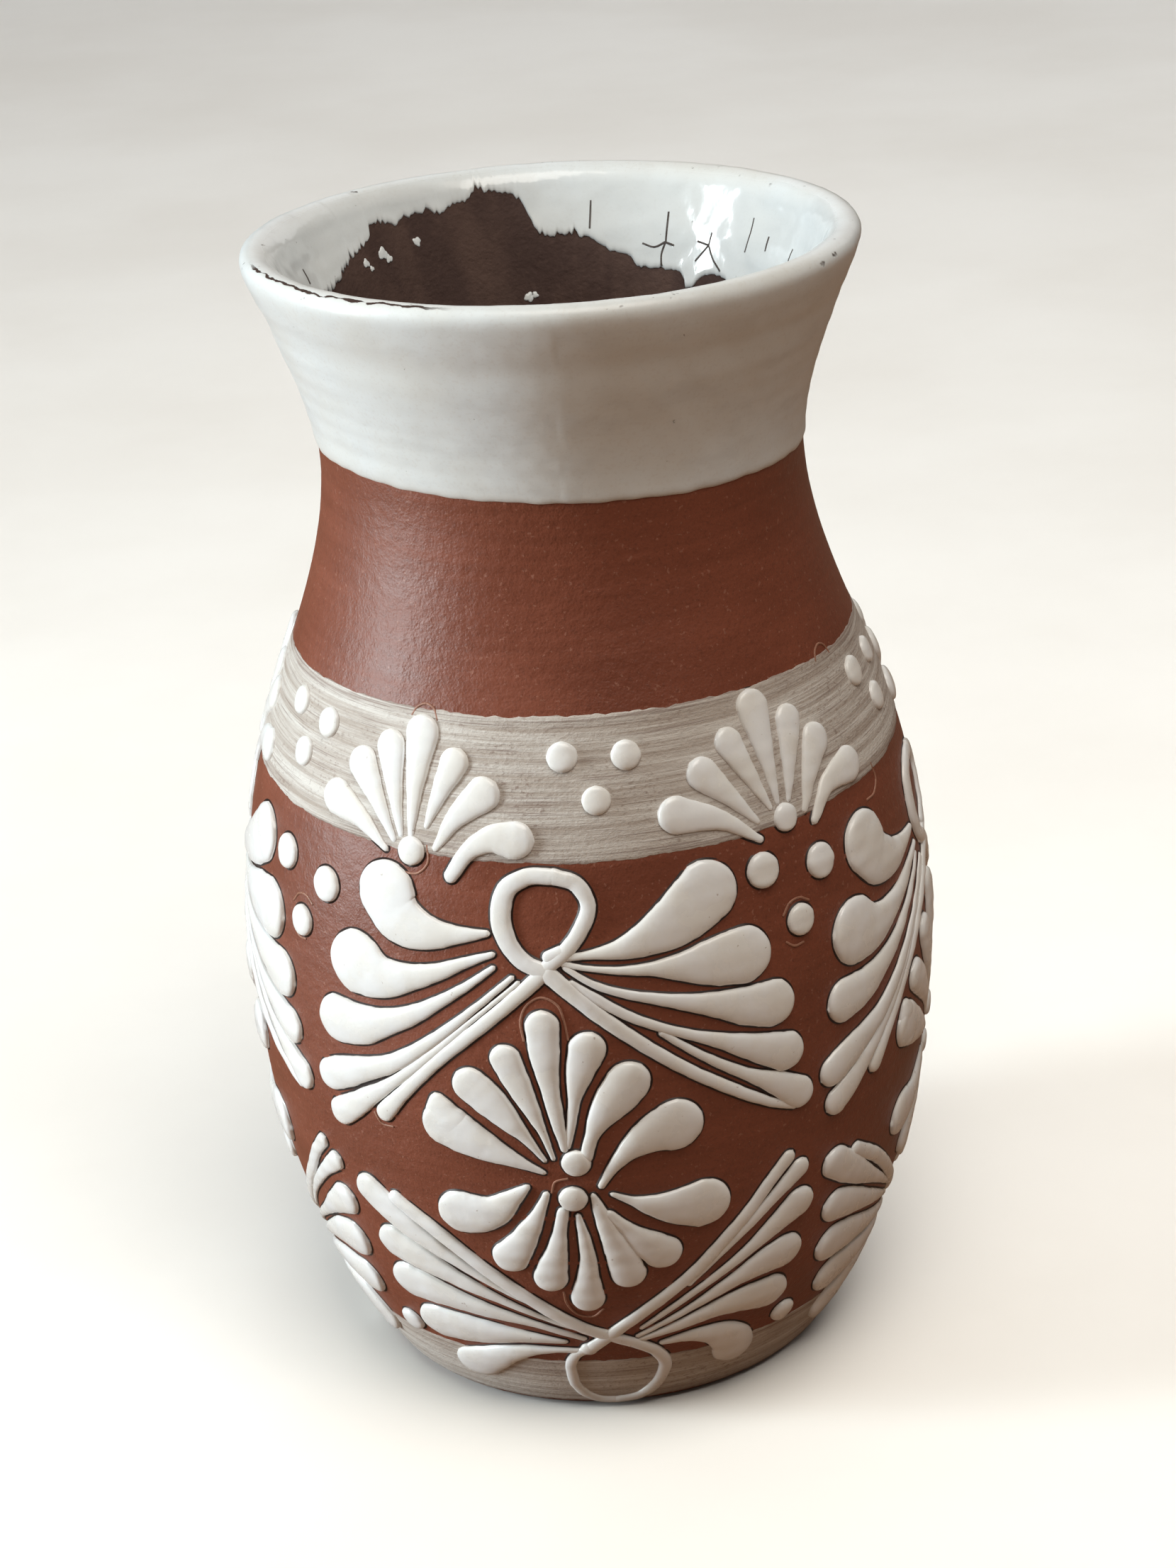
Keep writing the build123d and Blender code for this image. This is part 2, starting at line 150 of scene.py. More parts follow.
@dataclass
class Skin:
    """A mesh as arrays: points in millimetres, faces, a material number per face, and fields."""

    points: np.ndarray
    quads: np.ndarray
    tris: np.ndarray
    quad_slots: np.ndarray
    fields: dict = field(default_factory=dict)

    @staticmethod
    def closed(grid: np.ndarray, poles: tuple = (), slots: np.ndarray | None = None,
               fields: dict | None = None) -> "Skin":
        """Close a grid of points into a skin without holes.

        A face joins point (r, c) to (r+1, c), (r+1, c+1) and (r, c+1), so its outer side is
        where the row direction crossed with the column direction points. Rows always wrap.
        Columns wrap when there are no poles, and else end in one shared point each.

        Args:
            grid: Points, rows by columns by 3.
            poles: Nothing, or the two points that close the first and the last column.
            slots: Material number of each step along the columns.
            fields: Named values, rows by columns, that materials can read.

        Returns:
            The skin.
        """
        rows, columns = grid.shape[:2]
        number = np.arange(rows * columns).reshape(rows, columns)
        over = np.roll(number, -1, axis=0)
        steps = columns if not poles else columns - 1
        low, high = number, over
        quads = np.stack([low[:, :steps], high[:, :steps],
                          np.roll(high, -1, axis=1)[:, :steps],
                          np.roll(low, -1, axis=1)[:, :steps]], axis=-1).reshape(-1, 4)
        each = np.zeros(steps, int) if slots is None else slots[:steps]
        quad_slots = np.broadcast_to(each, (rows, steps)).reshape(-1)
        points = grid.reshape(-1, 3)
        tris = np.zeros((0, 3), int)
        if poles:
            first, last = rows * columns, rows * columns + 1
            near = np.stack([np.full(rows, first), over[:, 0], number[:, 0]], axis=-1)
            far = np.stack([number[:, -1], over[:, -1], np.full(rows, last)], axis=-1)
            tris = np.concatenate([near, far])
            points = np.concatenate([points, np.array(poles)])
        kept = {}
        for name, values in (fields or {}).items():
            flat = np.broadcast_to(values, (rows, columns)).reshape(-1)
            ends = [values[0, 0], values[0, -1]] if poles else []
            kept[name] = np.concatenate([flat, ends])
        return Skin(points, quads, tris, quad_slots, kept)

    @staticmethod
    def together(skins: list["Skin"]) -> "Skin":
        """Put several skins with the same fields into one, each still closed by itself."""
        starts = np.cumsum([0] + [len(skin.points) for skin in skins[:-1]])
        return Skin(
            np.concatenate([skin.points for skin in skins]),
            np.concatenate([skin.quads + start for skin, start in zip(skins, starts)]),
            np.concatenate([skin.tris + start for skin, start in zip(skins, starts)]),
            np.concatenate([skin.quad_slots for skin in skins]),
            {name: np.concatenate([skin.fields[name] for skin in skins])
             for name in skins[0].fields},
        )

    def flipped(self) -> "Skin":
        """The same skin with every face turned over."""
        return replace(self, quads=self.quads[:, ::-1], tris=self.tris[:, ::-1])

    def piece(self, name: str, materials: list[bpy.types.Material]) -> bpy.types.Object:
        """Make the object, in metres, smooth, standing at the origin with its place in its mesh.

        Args:
            name: Name of the object and its mesh.
            materials: Its materials, in the order of the face's material numbers.

        Returns:
            The new object, linked into the scene.
        """
        mesh = bpy.data.meshes.new(name)
        corners = np.concatenate([self.quads.reshape(-1), self.tris.reshape(-1)])
        starts = np.concatenate([np.arange(len(self.quads)) * 4,
                                 len(self.quads) * 4 + np.arange(len(self.tris)) * 3])
        slots = np.concatenate([self.quad_slots, np.full(len(self.tris), 0)])
        if len(self.tris) and self.quad_slots.max(initial=0):
            half = len(self.tris) // 2
            slots[len(self.quads):len(self.quads) + half] = self.quad_slots[0]
            slots[len(self.quads) + half:] = self.quad_slots[-1]
        mesh.vertices.add(len(self.points))
        mesh.loops.add(len(corners))
        mesh.polygons.add(len(starts))
        mesh.vertices.foreach_set("co", (self.points * MM).astype(np.float32).reshape(-1))
        mesh.loops.foreach_set("vertex_index", corners.astype(np.int32))
        mesh.polygons.foreach_set("loop_start", starts.astype(np.int32))
        mesh.polygons.foreach_set("material_index", slots.astype(np.int32))
        mesh.polygons.foreach_set("use_smooth", np.ones(len(starts), bool))
        for key, values in self.fields.items():
            layer = mesh.attributes.new(key, "FLOAT", "POINT")
            layer.data.foreach_set("value", values.astype(np.float32))
        for material in materials:
            mesh.materials.append(material)
        mesh.update(calc_edges=True)
        mesh.validate()
        item = bpy.data.objects.new(name, mesh)
        bpy.context.scene.collection.objects.link(item)
        return item


def hand_over(item: bpy.types.Object, slot: str, *nodes: str) -> None:
    """Let a piece ride on the pot and stand for the CAD nodes it replaces."""
    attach(item, BODY)
    if nodes:
        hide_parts(*nodes)
    log.info("%s: %d faces, stands for %s", item.name, len(item.data.polygons), ", ".join(nodes))


# ---- The pot's own form --------------------------------------------------------------------------

@dataclass(frozen=True)
class Wall:
    """The thrown wall: radius and slope of its outside at stations, and how it is rounded.

    Between two stations the radius is a cubic: it starts and ends with the stations' radii and
    slopes. A little unevenness from throwing is added to every radius.
    """

    lip_height: float
    belly_radius: float
    thickness: float = 5.0
    floor_thickness: float = 8.0
    floor_corner: float = 7.0
    foot_radius: float = 40.0
    foot_slope: float = 0.62
    foot_edge: float = 2.2
    foot_ring_width: float = 9.0
    foot_recess: float = 2.0
    belly_height: float = 75.0
    shoulder_radius: float = 50.5
    shoulder_slope: float = -0.40
    shoulder_below_waist: float = 39.0
    waist_radius: float = 40.2
    neck_rise: float = 35.6
    lip_radius: float = 51.6
    lip_slope: float = 0.38
    lip_round: float = 3.0
    lip_steps: int = 16
    out_of_round: float = 0.16
    throwing_rings: float = 0.035
    lip_tilt: float = 0.016        # the lip stands this much higher at the front, per mm of radius
    lip_draw: float = 0.7          # how far the real lip stays inside its station
    groove_height: float = 189.5
    groove_depth: float = 0.35
    groove_width: float = 3.0
    ring_pitch: float = 3.3        # height from one throwing ring to the next
    oval_twist: float = 90.0       # height over which the oval turns by a radian
    corner_twist: float = 70.0     # the same for the three-sided sway, the other way round
    ring_twist: float = 30.0
    patch_twist: float = 17.0

    @staticmethod
    def from_frame() -> "Wall":
        """Read the pot's height and its belly from the CAD body."""
        _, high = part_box("clay_body")
        return Wall(lip_height=high[2] / MM, belly_radius=high[0] / MM)

    @property
    def waist_height(self) -> float:
        """Height of the narrowest place."""
        return self.lip_height - self.neck_rise

    @property
    def shoulder_height(self) -> float:
        """Height of the shoulder station."""
        return self.waist_height - self.shoulder_below_waist

    @property
    def rim_height(self) -> float:
        """Height at which the lip starts to round off."""
        return self.lip_height - self.lip_round

    def stations(self) -> np.ndarray:
        """Height, radius and slope of the five stations, from foot to lip."""
        return np.array([
            (0.0, self.foot_radius, self.foot_slope),
            (self.belly_height, self.belly_radius, 0.0),
            (self.shoulder_height, self.shoulder_radius, self.shoulder_slope),
            (self.waist_height, self.waist_radius, 0.0),
            (self.lip_height, self.lip_radius, self.lip_slope),
        ])

    def radius(self, height: np.ndarray) -> np.ndarray:
        """Radius of the outside: r0 + (r1-r0) t^2(3-2t) + start t(1-t)^2 - end t^2(1-t)."""
        heights, radii, slopes = self.stations().T
        span = np.clip(np.searchsorted(heights, height) - 1, 0, len(heights) - 2)
        rise = heights[span + 1] - heights[span]
        t = (height - heights[span]) / rise
        return (radii[span] + (radii[span + 1] - radii[span]) * t * t * (3 - 2 * t)
                + rise * slopes[span] * t * (1 - t) ** 2
                - rise * slopes[span + 1] * t * t * (1 - t))

    def slope(self, height: np.ndarray) -> np.ndarray:
        """Radius gained per millimetre of height, from the radii a twentieth away each side."""
        step = 0.05
        return (self.radius(height + step) - self.radius(height - step)) / (2 * step)

    def unevenness(self, degrees: np.ndarray, height: np.ndarray) -> np.ndarray:
        """What throwing adds to a radius: a slow oval and three-sided sway, and fine rings.

        A number added to the turn is where that wave starts. The rings come and go in patches,
        and the groove under the lip is shallower on one side.
        """
        turn = np.radians(degrees)
        sway = (np.cos(2 * turn + 0.8 + height / self.oval_twist)
                + 0.6 * np.cos(3 * turn + 2.1 - height / self.corner_twist))
        rings = np.sin(2 * math.pi * height / self.ring_pitch
                       + 1.2 * np.sin(turn + height / self.ring_twist))
        patch = 0.5 + 0.5 * np.sin(2 * turn + height / self.patch_twist)
        groove = (0.75 + 0.25 * np.cos(turn + 0.7)) * np.exp(
            -((height - self.groove_height) / self.groove_width) ** 2)
        draw = self.above_waist(height) ** 2
        return (self.out_of_round * sway + self.throwing_rings * rings * patch
                - self.groove_depth * groove - self.lip_draw * draw)

    def above_waist(self, height: np.ndarray) -> np.ndarray:
        """Share of the way from waist to lip, 0 below the waist."""
        return np.clip((height - self.waist_height) / self.neck_rise, 0, 1)

    def revolve(self, degrees: np.ndarray, radius: np.ndarray, height: np.ndarray) -> np.ndarray:
        """Points at an angle, a radius and a height: (r sin, -r cos, height), uneven as thrown.

        Towards the lip the height also grows by the lip's tilt times radius times cosine.
        """
        turn = np.radians(degrees)
        near_axis = np.clip(radius / self.foot_radius, 0, 1)
        real = radius + self.unevenness(degrees, height) * near_axis
        level = height + self.lip_tilt * real * np.cos(turn) * self.above_waist(height) ** 2
        return np.stack(np.broadcast_arrays(real * np.sin(turn), -real * np.cos(turn), level), -1)

    def on_wall(self, degrees: np.ndarray, height: np.ndarray, lift: np.ndarray) -> np.ndarray:
        """Points above the outside by a lift along the wall's normal, (1, -slope) made unit."""
        slope = self.slope(height)
        length = np.sqrt(1 + slope * slope)
        return self.revolve(degrees, self.radius(height) + lift / length,
                            height - lift * slope / length)

    def foot_tuck(self, height: np.ndarray, depth: float) -> np.ndarray:
        """How far the rounded foot draws in from the wall's own line, up to a depth at the base."""
        return depth * np.clip((self.foot_edge - height) / self.foot_edge, 0, 1) ** 2

    def inner_side(self, cover: float) -> "InnerWall":
        """The same wall seen from its hollow, with a coat's thickness on it."""
        return InnerWall(**{**vars(self), "thickness": self.thickness + cover})

    def lip_line(self, low: float, inner_low: float, count: int = 420) -> np.ndarray:
        """Line up the outside from a height, over the lip, and down the inside to another.

        Args:
            low: Height where the line starts outside.
            inner_low: Height where it ends inside.
            count: Points on each straight run.

        Returns:
            Radius and height of its points.
        """
        up = np.linspace(low, self.rim_height, count)
        down = np.linspace(self.rim_height, inner_low, count)
        outer = np.stack([self.radius(up), up], -1)
        inner = np.stack([self.radius(down) - self.thickness, down], -1)
        crest = (self.lip_radius - self.thickness / 2, self.lip_height)
        over, under = (bezier(corners, self.lip_steps) for corners in (
            (outer[-1], (self.lip_radius, self.lip_height), crest),
            (crest, (self.lip_radius - self.thickness, self.lip_height), inner[0])))
        return np.concatenate([outer[:-1], over, under[1:], inner[1:]])


@dataclass(frozen=True)
class InnerWall(Wall):
    """The wall's inner side: what is laid on it stands towards the axis."""

    def on_wall(self, degrees: np.ndarray, height: np.ndarray, lift: np.ndarray) -> np.ndarray:
        """Points a lift inside the inner side."""
        return self.revolve(degrees, self.radius(height) - self.thickness - lift, height)


class Region(Enum):
    """Which finish a part of the clay body shows."""

    UNDERSIDE = 0
    OUTSIDE = 1
    INSIDE = 2


@dataclass
class ClayBody:
    """The thrown pot: one closed surface of revolution with a ring foot and a hollow inside."""

    wall: Wall
    around: int = 460
    outside_steps: int = 84
    inside_steps: int = 56
    axis_gap: float = 1.5          # radius of the last ring of points round either pole
    recess_bend: tuple[float, float] = (0.6, 0.9)    # in from the foot ring, and up

    def profile(self) -> tuple[np.ndarray, np.ndarray]:
        """Line from the underside's middle, up the outside, over the lip and down to the floor.

        Returns:
            Radius and height of its points, and the region of the step after each point.
        """
        wall = self.wall
        foot_wall = float(wall.radius(np.array(wall.foot_edge)))
        corner = foot_wall - wall.foot_slope * wall.foot_edge
        ring = corner - wall.foot_edge - wall.foot_ring_width
        corner_top = wall.floor_thickness + wall.floor_corner
        corner_wall = float(wall.radius(np.array(corner_top)))
        corner_slope = float(wall.slope(np.array(corner_top)))
        floor_edge = corner_wall - wall.thickness - corner_slope * wall.floor_corner
        recess = (ring - wall.foot_recess, wall.foot_recess)
        bend_in, bend_up = self.recess_bend
        flat = np.linspace(self.axis_gap, recess[0], 10)
        under = np.concatenate([
            np.stack([flat, np.full_like(flat, wall.foot_recess)], -1),
            bezier((recess, (ring - bend_in, bend_up), (ring, 0)), 4)[1:],
            np.stack([np.linspace(ring, corner - wall.foot_edge, 5)[1:], np.zeros(4)], -1),
        ])
        foot = bezier(((corner - wall.foot_edge, 0.0), (corner, 0.0),
                       (foot_wall, wall.foot_edge)), 7)
        up = np.linspace(wall.foot_edge, wall.rim_height, self.outside_steps)
        outside = np.stack([wall.radius(up), up], -1)
        lip = wall.lip_line(wall.rim_height - 0.01, wall.rim_height - 0.01, 2)[1:-1]
        down = np.linspace(wall.rim_height, corner_top, self.inside_steps)
        inside = np.stack([wall.radius(down) - wall.thickness, down], -1)
        bend = bezier(((corner_wall - wall.thickness, corner_top),
                       (floor_edge, wall.floor_thickness),
                       (floor_edge - wall.floor_corner, wall.floor_thickness)), 8)
        inwards = np.linspace(floor_edge - wall.floor_corner, self.axis_gap, 12)
        floor = np.stack([inwards, np.full_like(inwards, wall.floor_thickness)], -1)
        parts = [under, foot[1:], outside[1:], lip, inside[1:], bend[1:], floor[1:]]
        regions = [Region.UNDERSIDE, Region.OUTSIDE, Region.OUTSIDE, Region.OUTSIDE,
                   Region.INSIDE, Region.INSIDE, Region.INSIDE]
        slots = [np.full(len(part), region.value) for part, region in zip(parts, regions)]
        slots[3][int(np.argmax(lip[:, 1])):] = Region.INSIDE.value
        return np.concatenate(parts), np.concatenate(slots)

    def build(self, slip: bpy.types.Material, bare: bpy.types.Material,
              raw: bpy.types.Material) -> bpy.types.Object:
        """Turn the profile round the axis and hand the piece over.

        Args:
            slip: Finish of the outside.
            bare: Finish of the inside.
            raw: Finish of the underside.

        Returns:
            The clay body.
        """
        line, slots = self.profile()
        degrees = all_round(self.around)
        grid = self.wall.revolve(degrees[:, None], line[None, :, 0], line[None, :, 1])
        poles = ((0.0, 0.0, line[0, 1]), (0.0, 0.0, line[-1, 1]))
        skin = Skin.closed(grid, poles, slots)
        item = skin.piece("pot_body", [raw, slip, bare])
        hand_over(item, "brown_slip", "clay_body")
        return item


@dataclass
class NeckGlaze:
    """White glaze over the lip: a thick coat whose lower edge tilts and whose inner edge is torn.

    The coat follows the line up the outside, over the lip and down the inside. Its height above
    the clay grows from nothing at either edge as a quarter round, up to its thickness.
    """

    wall: Wall
    thickness: float = 0.42
    roll: float = 1.1              # how far in from an edge the coat reaches full thickness
    sunk: float = 0.25             # its closing side lies this far under the clay's surface
    around: int = 600
    front_steps: int = 112
    back_steps: int = 20
    line_ends: tuple[float, float] = (158.0, 172.0)   # lower than either edge, outside and in
    edge_height: float = 165.7
    edge_tilt: tuple[float, float] = (-0.043, -0.018)
    edge_wander: float = 0.14
    teeth: float = 0.95            # height of the inner edge's teeth where it is most torn
    torn_middle: float = 210.0
    torn_reach: float = 38.0
    sag: float = 0.16              # share by which the thickness comes and goes
    sag_pitch: float = 31.0
    lip_reach: float = 3.2         # how far from the crest the lip's chips reach
    thin_reach: float = 1.6        # how far in from an edge the coat looks thin
    # Inner edge: degrees round the pot and height.
    inner_edge: tuple = (
        (0, 187.0), (20, 185.0), (45, 186.5), (70, 184.0), (90, 182.5), (97, 181.5), (112, 181.0),
        (124, 181.5), (130, 182.0), (135, 183.2), (139, 182.6), (141.5, 180.6), (143.5, 180.2),
        (145.5, 182.6), (150, 183.0), (158, 183.0), (160, 185.0), (165, 185.3), (168, 187.0),
        (171, 188.0), (175, 188.6), (179, 188.3), (183, 188.7), (184.3, 191.0), (186, 194.2),
        (188.5, 195.8), (192, 196.6), (196, 196.8), (199, 195.6), (202, 195.3), (206, 194.2),
        (209, 194.5), (213, 195.0), (217, 193.8), (221, 194.4), (224.5, 195.0), (226, 192.2),
        (230, 191.4), (234, 190.8), (237, 189.4), (240, 188.0), (245, 187.3), (262, 186.0),
        (285, 187.5), (310, 185.5), (335, 187.5),
    )
    # Small spots of glaze left on the bare inside: degrees, height, radius.
    spots: tuple = ((213.3, 190.2, 0.75), (223.6, 189.6, 1.0), (222.3, 188.6, 0.7),
                    (229.5, 188.9, 0.7), (228.3, 187.8, 0.45), (186.5, 178.3, 0.8),
                    (184.8, 178.6, 0.55))
    spot_lift: float = 0.22
    spot_sunk: float = 0.3
    worn_line: tuple[float, float] = (282.0, 342.0)   # degrees where the worn line runs
    worn_fade: float = 6.0         # degrees over which it starts and stops

    def torn_edge(self, degrees: np.ndarray) -> np.ndarray:
        """Height of the inner edge: straight runs between its places, with small teeth."""
        places = np.array(self.inner_edge)
        turn = np.mod(degrees, 360.0)
        ends = np.concatenate([places, [(360.0, places[0, 1])]])
        base = np.interp(turn, ends[:, 0], ends[:, 1])
        torn = np.where(np.abs(turn - self.torn_middle) < self.torn_reach, 1.0, 0.25)
        teeth = np.abs(round_ripple(degrees, 5, 41, 7)) - 0.5
        return base + teeth * torn * self.teeth + 0.25 * round_ripple(degrees, 9, 23, 5)

    def build(self, glaze: bpy.types.Material) -> bpy.types.Object:
        """Lay the coat and its stray spots, and hand the piece over."""
        wall = self.wall
        line = wall.lip_line(*self.line_ends)
        step = np.hypot(*np.diff(line, axis=0).T)
        run = np.concatenate([[0.0], np.cumsum(step)])
        tangent = np.gradient(line, run, axis=0)
        tangent /= np.linalg.norm(tangent, axis=1)[:, None]
        normal = np.stack([tangent[:, 1], -tangent[:, 0]], -1)
        top = int(np.argmax(line[:, 1]))
        degrees = all_round(self.around)
        low = (tilted(self.edge_height, self.edge_tilt, degrees, wall.waist_radius)
               + self.edge_wander * round_ripple(degrees, 2, 7))
        start = np.interp(low, line[:top, 1], run[:top])
        end = np.interp(-self.torn_edge(degrees), -line[top:, 1], run[top:])
        start, end, degrees = start[:, None], end[:, None], degrees[:, None]
        front = start + (end - start) * eased(self.front_steps)
        back = start + (end - start) * np.linspace(0.999, 0.001, self.back_steps)
        from_edge = np.minimum(front - start, end - front)
        sag = 1 + self.sag * ripple(front + degrees * 0.9, 21, self.sag_pitch)
        lift = np.concatenate([quarter_round(from_edge, self.roll) * self.thickness * sag,
                               np.full_like(back, -self.sunk)], 1)
        along = np.concatenate([front, back], axis=1)
        parts = [np.interp(along, run, column) for column in (*line.T, *normal.T)]
        grid = wall.revolve(degrees, parts[0] + lift * parts[2], parts[1] + lift * parts[3])
        past = along - run[top]                 # how far each point lies inside the lip's crest
        window = (np.clip((degrees - self.worn_line[0]) / self.worn_fade, 0, 1)
                  * np.clip((self.worn_line[1] - degrees) / self.worn_fade, 0, 1))
        drift = 0.75 + 0.22 * round_ripple(degrees, 8, 9)
        thin = np.concatenate([1 - np.clip(from_edge / self.thin_reach, 0, 1),
                               np.ones_like(back)], 1)
        fields = {"inside": np.clip((past - 1.0) / 3.0, 0, 1),
                  "lip": np.exp(-(past / self.lip_reach) ** 2),
                  "thin": thin, "worn": past + drift, "window": window}
        skins = [Skin.closed(grid, (), None, fields)]
        skins += [self.spot(*place) for place in self.spots]
        item = Skin.together(skins).piece("glazed_neck", [glaze])
        hand_over(item, "white_glaze", "neck_glaze")
        return item

    def spot(self, degrees: float, height: float, size: float) -> Skin:
        """A small flat drop on the inner wall: half an ellipsoid with a wavy outline."""
        rows, columns = 28, 9
        turn = np.linspace(0, 2 * np.pi, rows, endpoint=False)[:, None]
        tilt = np.linspace(0, np.pi, columns + 2)[1:-1]      # from the drop's top to its underside
        wavy = 1 + 0.16 * np.sin(3 * turn + degrees) + 0.1 * np.sin(5 * turn + height)
        away = size * wavy * np.sin(tilt)
        lift = np.where(np.cos(tilt) > 0, self.spot_lift, self.spot_sunk) * np.cos(tilt)
        level = height + away * np.sin(turn)
        inner = self.wall.radius(level) - self.wall.thickness
        angle = degrees - np.degrees(away * np.cos(turn) / inner)
        grid = self.wall.revolve(angle, inner - lift, level)
        middle = self.wall.radius(np.full(2, height)) - self.wall.thickness
        poles = self.wall.revolve(np.full(2, degrees),
                                  middle - np.array([self.spot_lift, -self.spot_sunk]),
                                  np.full(2, height))
        flat = np.zeros((rows, columns))
        fields = {"inside": flat + 1, "lip": flat, "thin": flat + 0.4,
                  "worn": flat, "window": flat}
        return Skin.closed(grid, tuple(map(tuple, poles)), None, fields).flipped()


@dataclass
class WashBand:
    """A thin coat brushed round the pot, with tilted edges that the brush left uneven.

    Its height above the clay is its thickness, falling to nothing over a short way at each edge.
    Each tilt is a rise per millimetre of X and of Y.
    """

    wall: Wall
    name: str
    node: str
    low: float
    high: float
    low_tilt: tuple[float, float]
    high_tilt: tuple[float, float]
    thickness: float = 0.13
    sunk: float = 0.2
    roll: float = 0.8              # how far in from an edge the coat reaches full thickness
    thin_reach: float = 2.2        # how far in from an edge the coat looks thin
    brush_pitch: float = 3.1
    past_foot: float = 1.2         # how far below the foot's edge the brush could still reach
    around: int = 540
    front_steps: int = 30
    back_steps: int = 8

    def build(self, wash: bpy.types.Material) -> bpy.types.Object:
        """Lay the band and hand the piece over."""
        degrees = all_round(self.around)
        low = self.edge(self.low, self.low_tilt, degrees, 31)[:, None]
        high = self.edge(self.high, self.high_tilt, degrees, 32)[:, None]
        front = low + (high - low) * eased(self.front_steps)
        back = low + (high - low) * np.linspace(0.998, 0.002, self.back_steps)
        from_edge = np.minimum(front - low, high - front)
        strokes = 1 + 0.25 * ripple(front, 44, self.brush_pitch)
        lift = np.concatenate([quarter_round(from_edge, self.roll) * self.thickness * strokes,
                               np.full_like(back, -self.sunk)], 1)
        height = np.concatenate([front, back], 1)
        tuck = self.wall.foot_tuck(height, 0.55)
        grid = self.wall.on_wall(degrees[:, None], height, lift - tuck)
        thin = np.concatenate([1 - np.clip(from_edge / self.thin_reach, 0, 1),
                               np.ones_like(back)], 1)
        item = Skin.closed(grid, (), None, {"thin": thin}).piece(self.name, [wash])
        hand_over(item, "pale_wash", self.node)
        return item

    def edge(self, height: float, tilt: tuple[float, float], degrees: np.ndarray,
             seed: int) -> np.ndarray:
        """Height of one edge round the pot: tilted, with slow and fine marks of the brush."""
        radius = float(self.wall.radius(np.array(height)))
        line = (tilted(height, tilt, degrees, radius) + 0.16 * round_ripple(degrees, seed, 9)
                + 0.07 * round_ripple(degrees, seed, 60))
        return np.maximum(line, self.wall.foot_edge - self.past_foot)


# ---- Piped relief --------------------------------------------------------------------------------
# A stroke is the places the nozzle passed, from thin tip to round head. One place is a drop.

FAN_LEFT: tuple[Stroke, ...] = (
    ((-30.4, 111.8, 2.4),),
    ((-35.5, 111.3, 0.5), (-41.5, 115.0, 1.7), (-47.8, 117.0, 3.1)),
    ((-34.0, 113.0, 0.5), (-38.6, 118.8, 1.6), (-43.0, 123.3, 2.9)),
    ((-32.7, 114.0, 0.5), (-35.0, 120.8, 1.5), (-37.2, 127.0, 2.7)),
    ((-30.7, 114.0, 0.5), (-30.8, 122.0, 1.6), (-30.7, 129.8, 3.0)),
    ((-27.8, 116.0, 0.5), (-26.0, 120.8, 1.4), (-23.5, 126.0, 2.5)),
    ((-25.8, 112.8, 0.6), (-22.4, 117.8, 1.7), (-17.7, 121.7, 2.9)),
    ((-22.8, 108.8, 1.2), (-19.8, 112.9, 1.5), (-16.0, 115.0, 2.2), (-11.8, 115.0, 3.1)),
)
FAN_RIGHT: tuple[Stroke, ...] = (
    ((36.5, 112.3, 2.35),),
    ((30.7, 110.2, 0.6), (23.5, 115.0, 1.7), (16.0, 117.0, 3.1)),
    ((30.8, 113.0, 0.5), (26.2, 118.2, 1.6), (22.0, 122.3, 2.8)),
    ((33.8, 114.5, 0.5), (31.0, 120.4, 1.5), (28.3, 126.0, 2.5)),
    ((35.5, 115.0, 0.5), (35.4, 122.4, 1.6), (35.3, 129.9, 3.1)),
    ((38.0, 114.8, 0.5), (40.2, 120.6, 1.5), (42.7, 126.3, 2.6)),
    ((41.0, 112.2, 0.6), (44.2, 117.6, 1.7), (47.8, 121.7, 2.9)),
    ((42.7, 110.0, 0.8), (47.6, 114.4, 1.7), (54.5, 115.5, 3.1)),
)
SHOULDER_DROPS: tuple[Stroke, ...] = (
    ((-3.3, 127.4, 2.5),), ((8.4, 127.0, 2.45),), ((2.4, 120.7, 2.35),),
)
BELLY_DROPS: tuple[Stroke, ...] = (
    ((30.2, 105.3, 3.0),), ((42.2, 103.4, 3.0),), ((36.2, 95.3, 2.7),),
)
FOOT_DROP: tuple[Stroke, ...] = (((37.3, 16.5, 2.4),),)
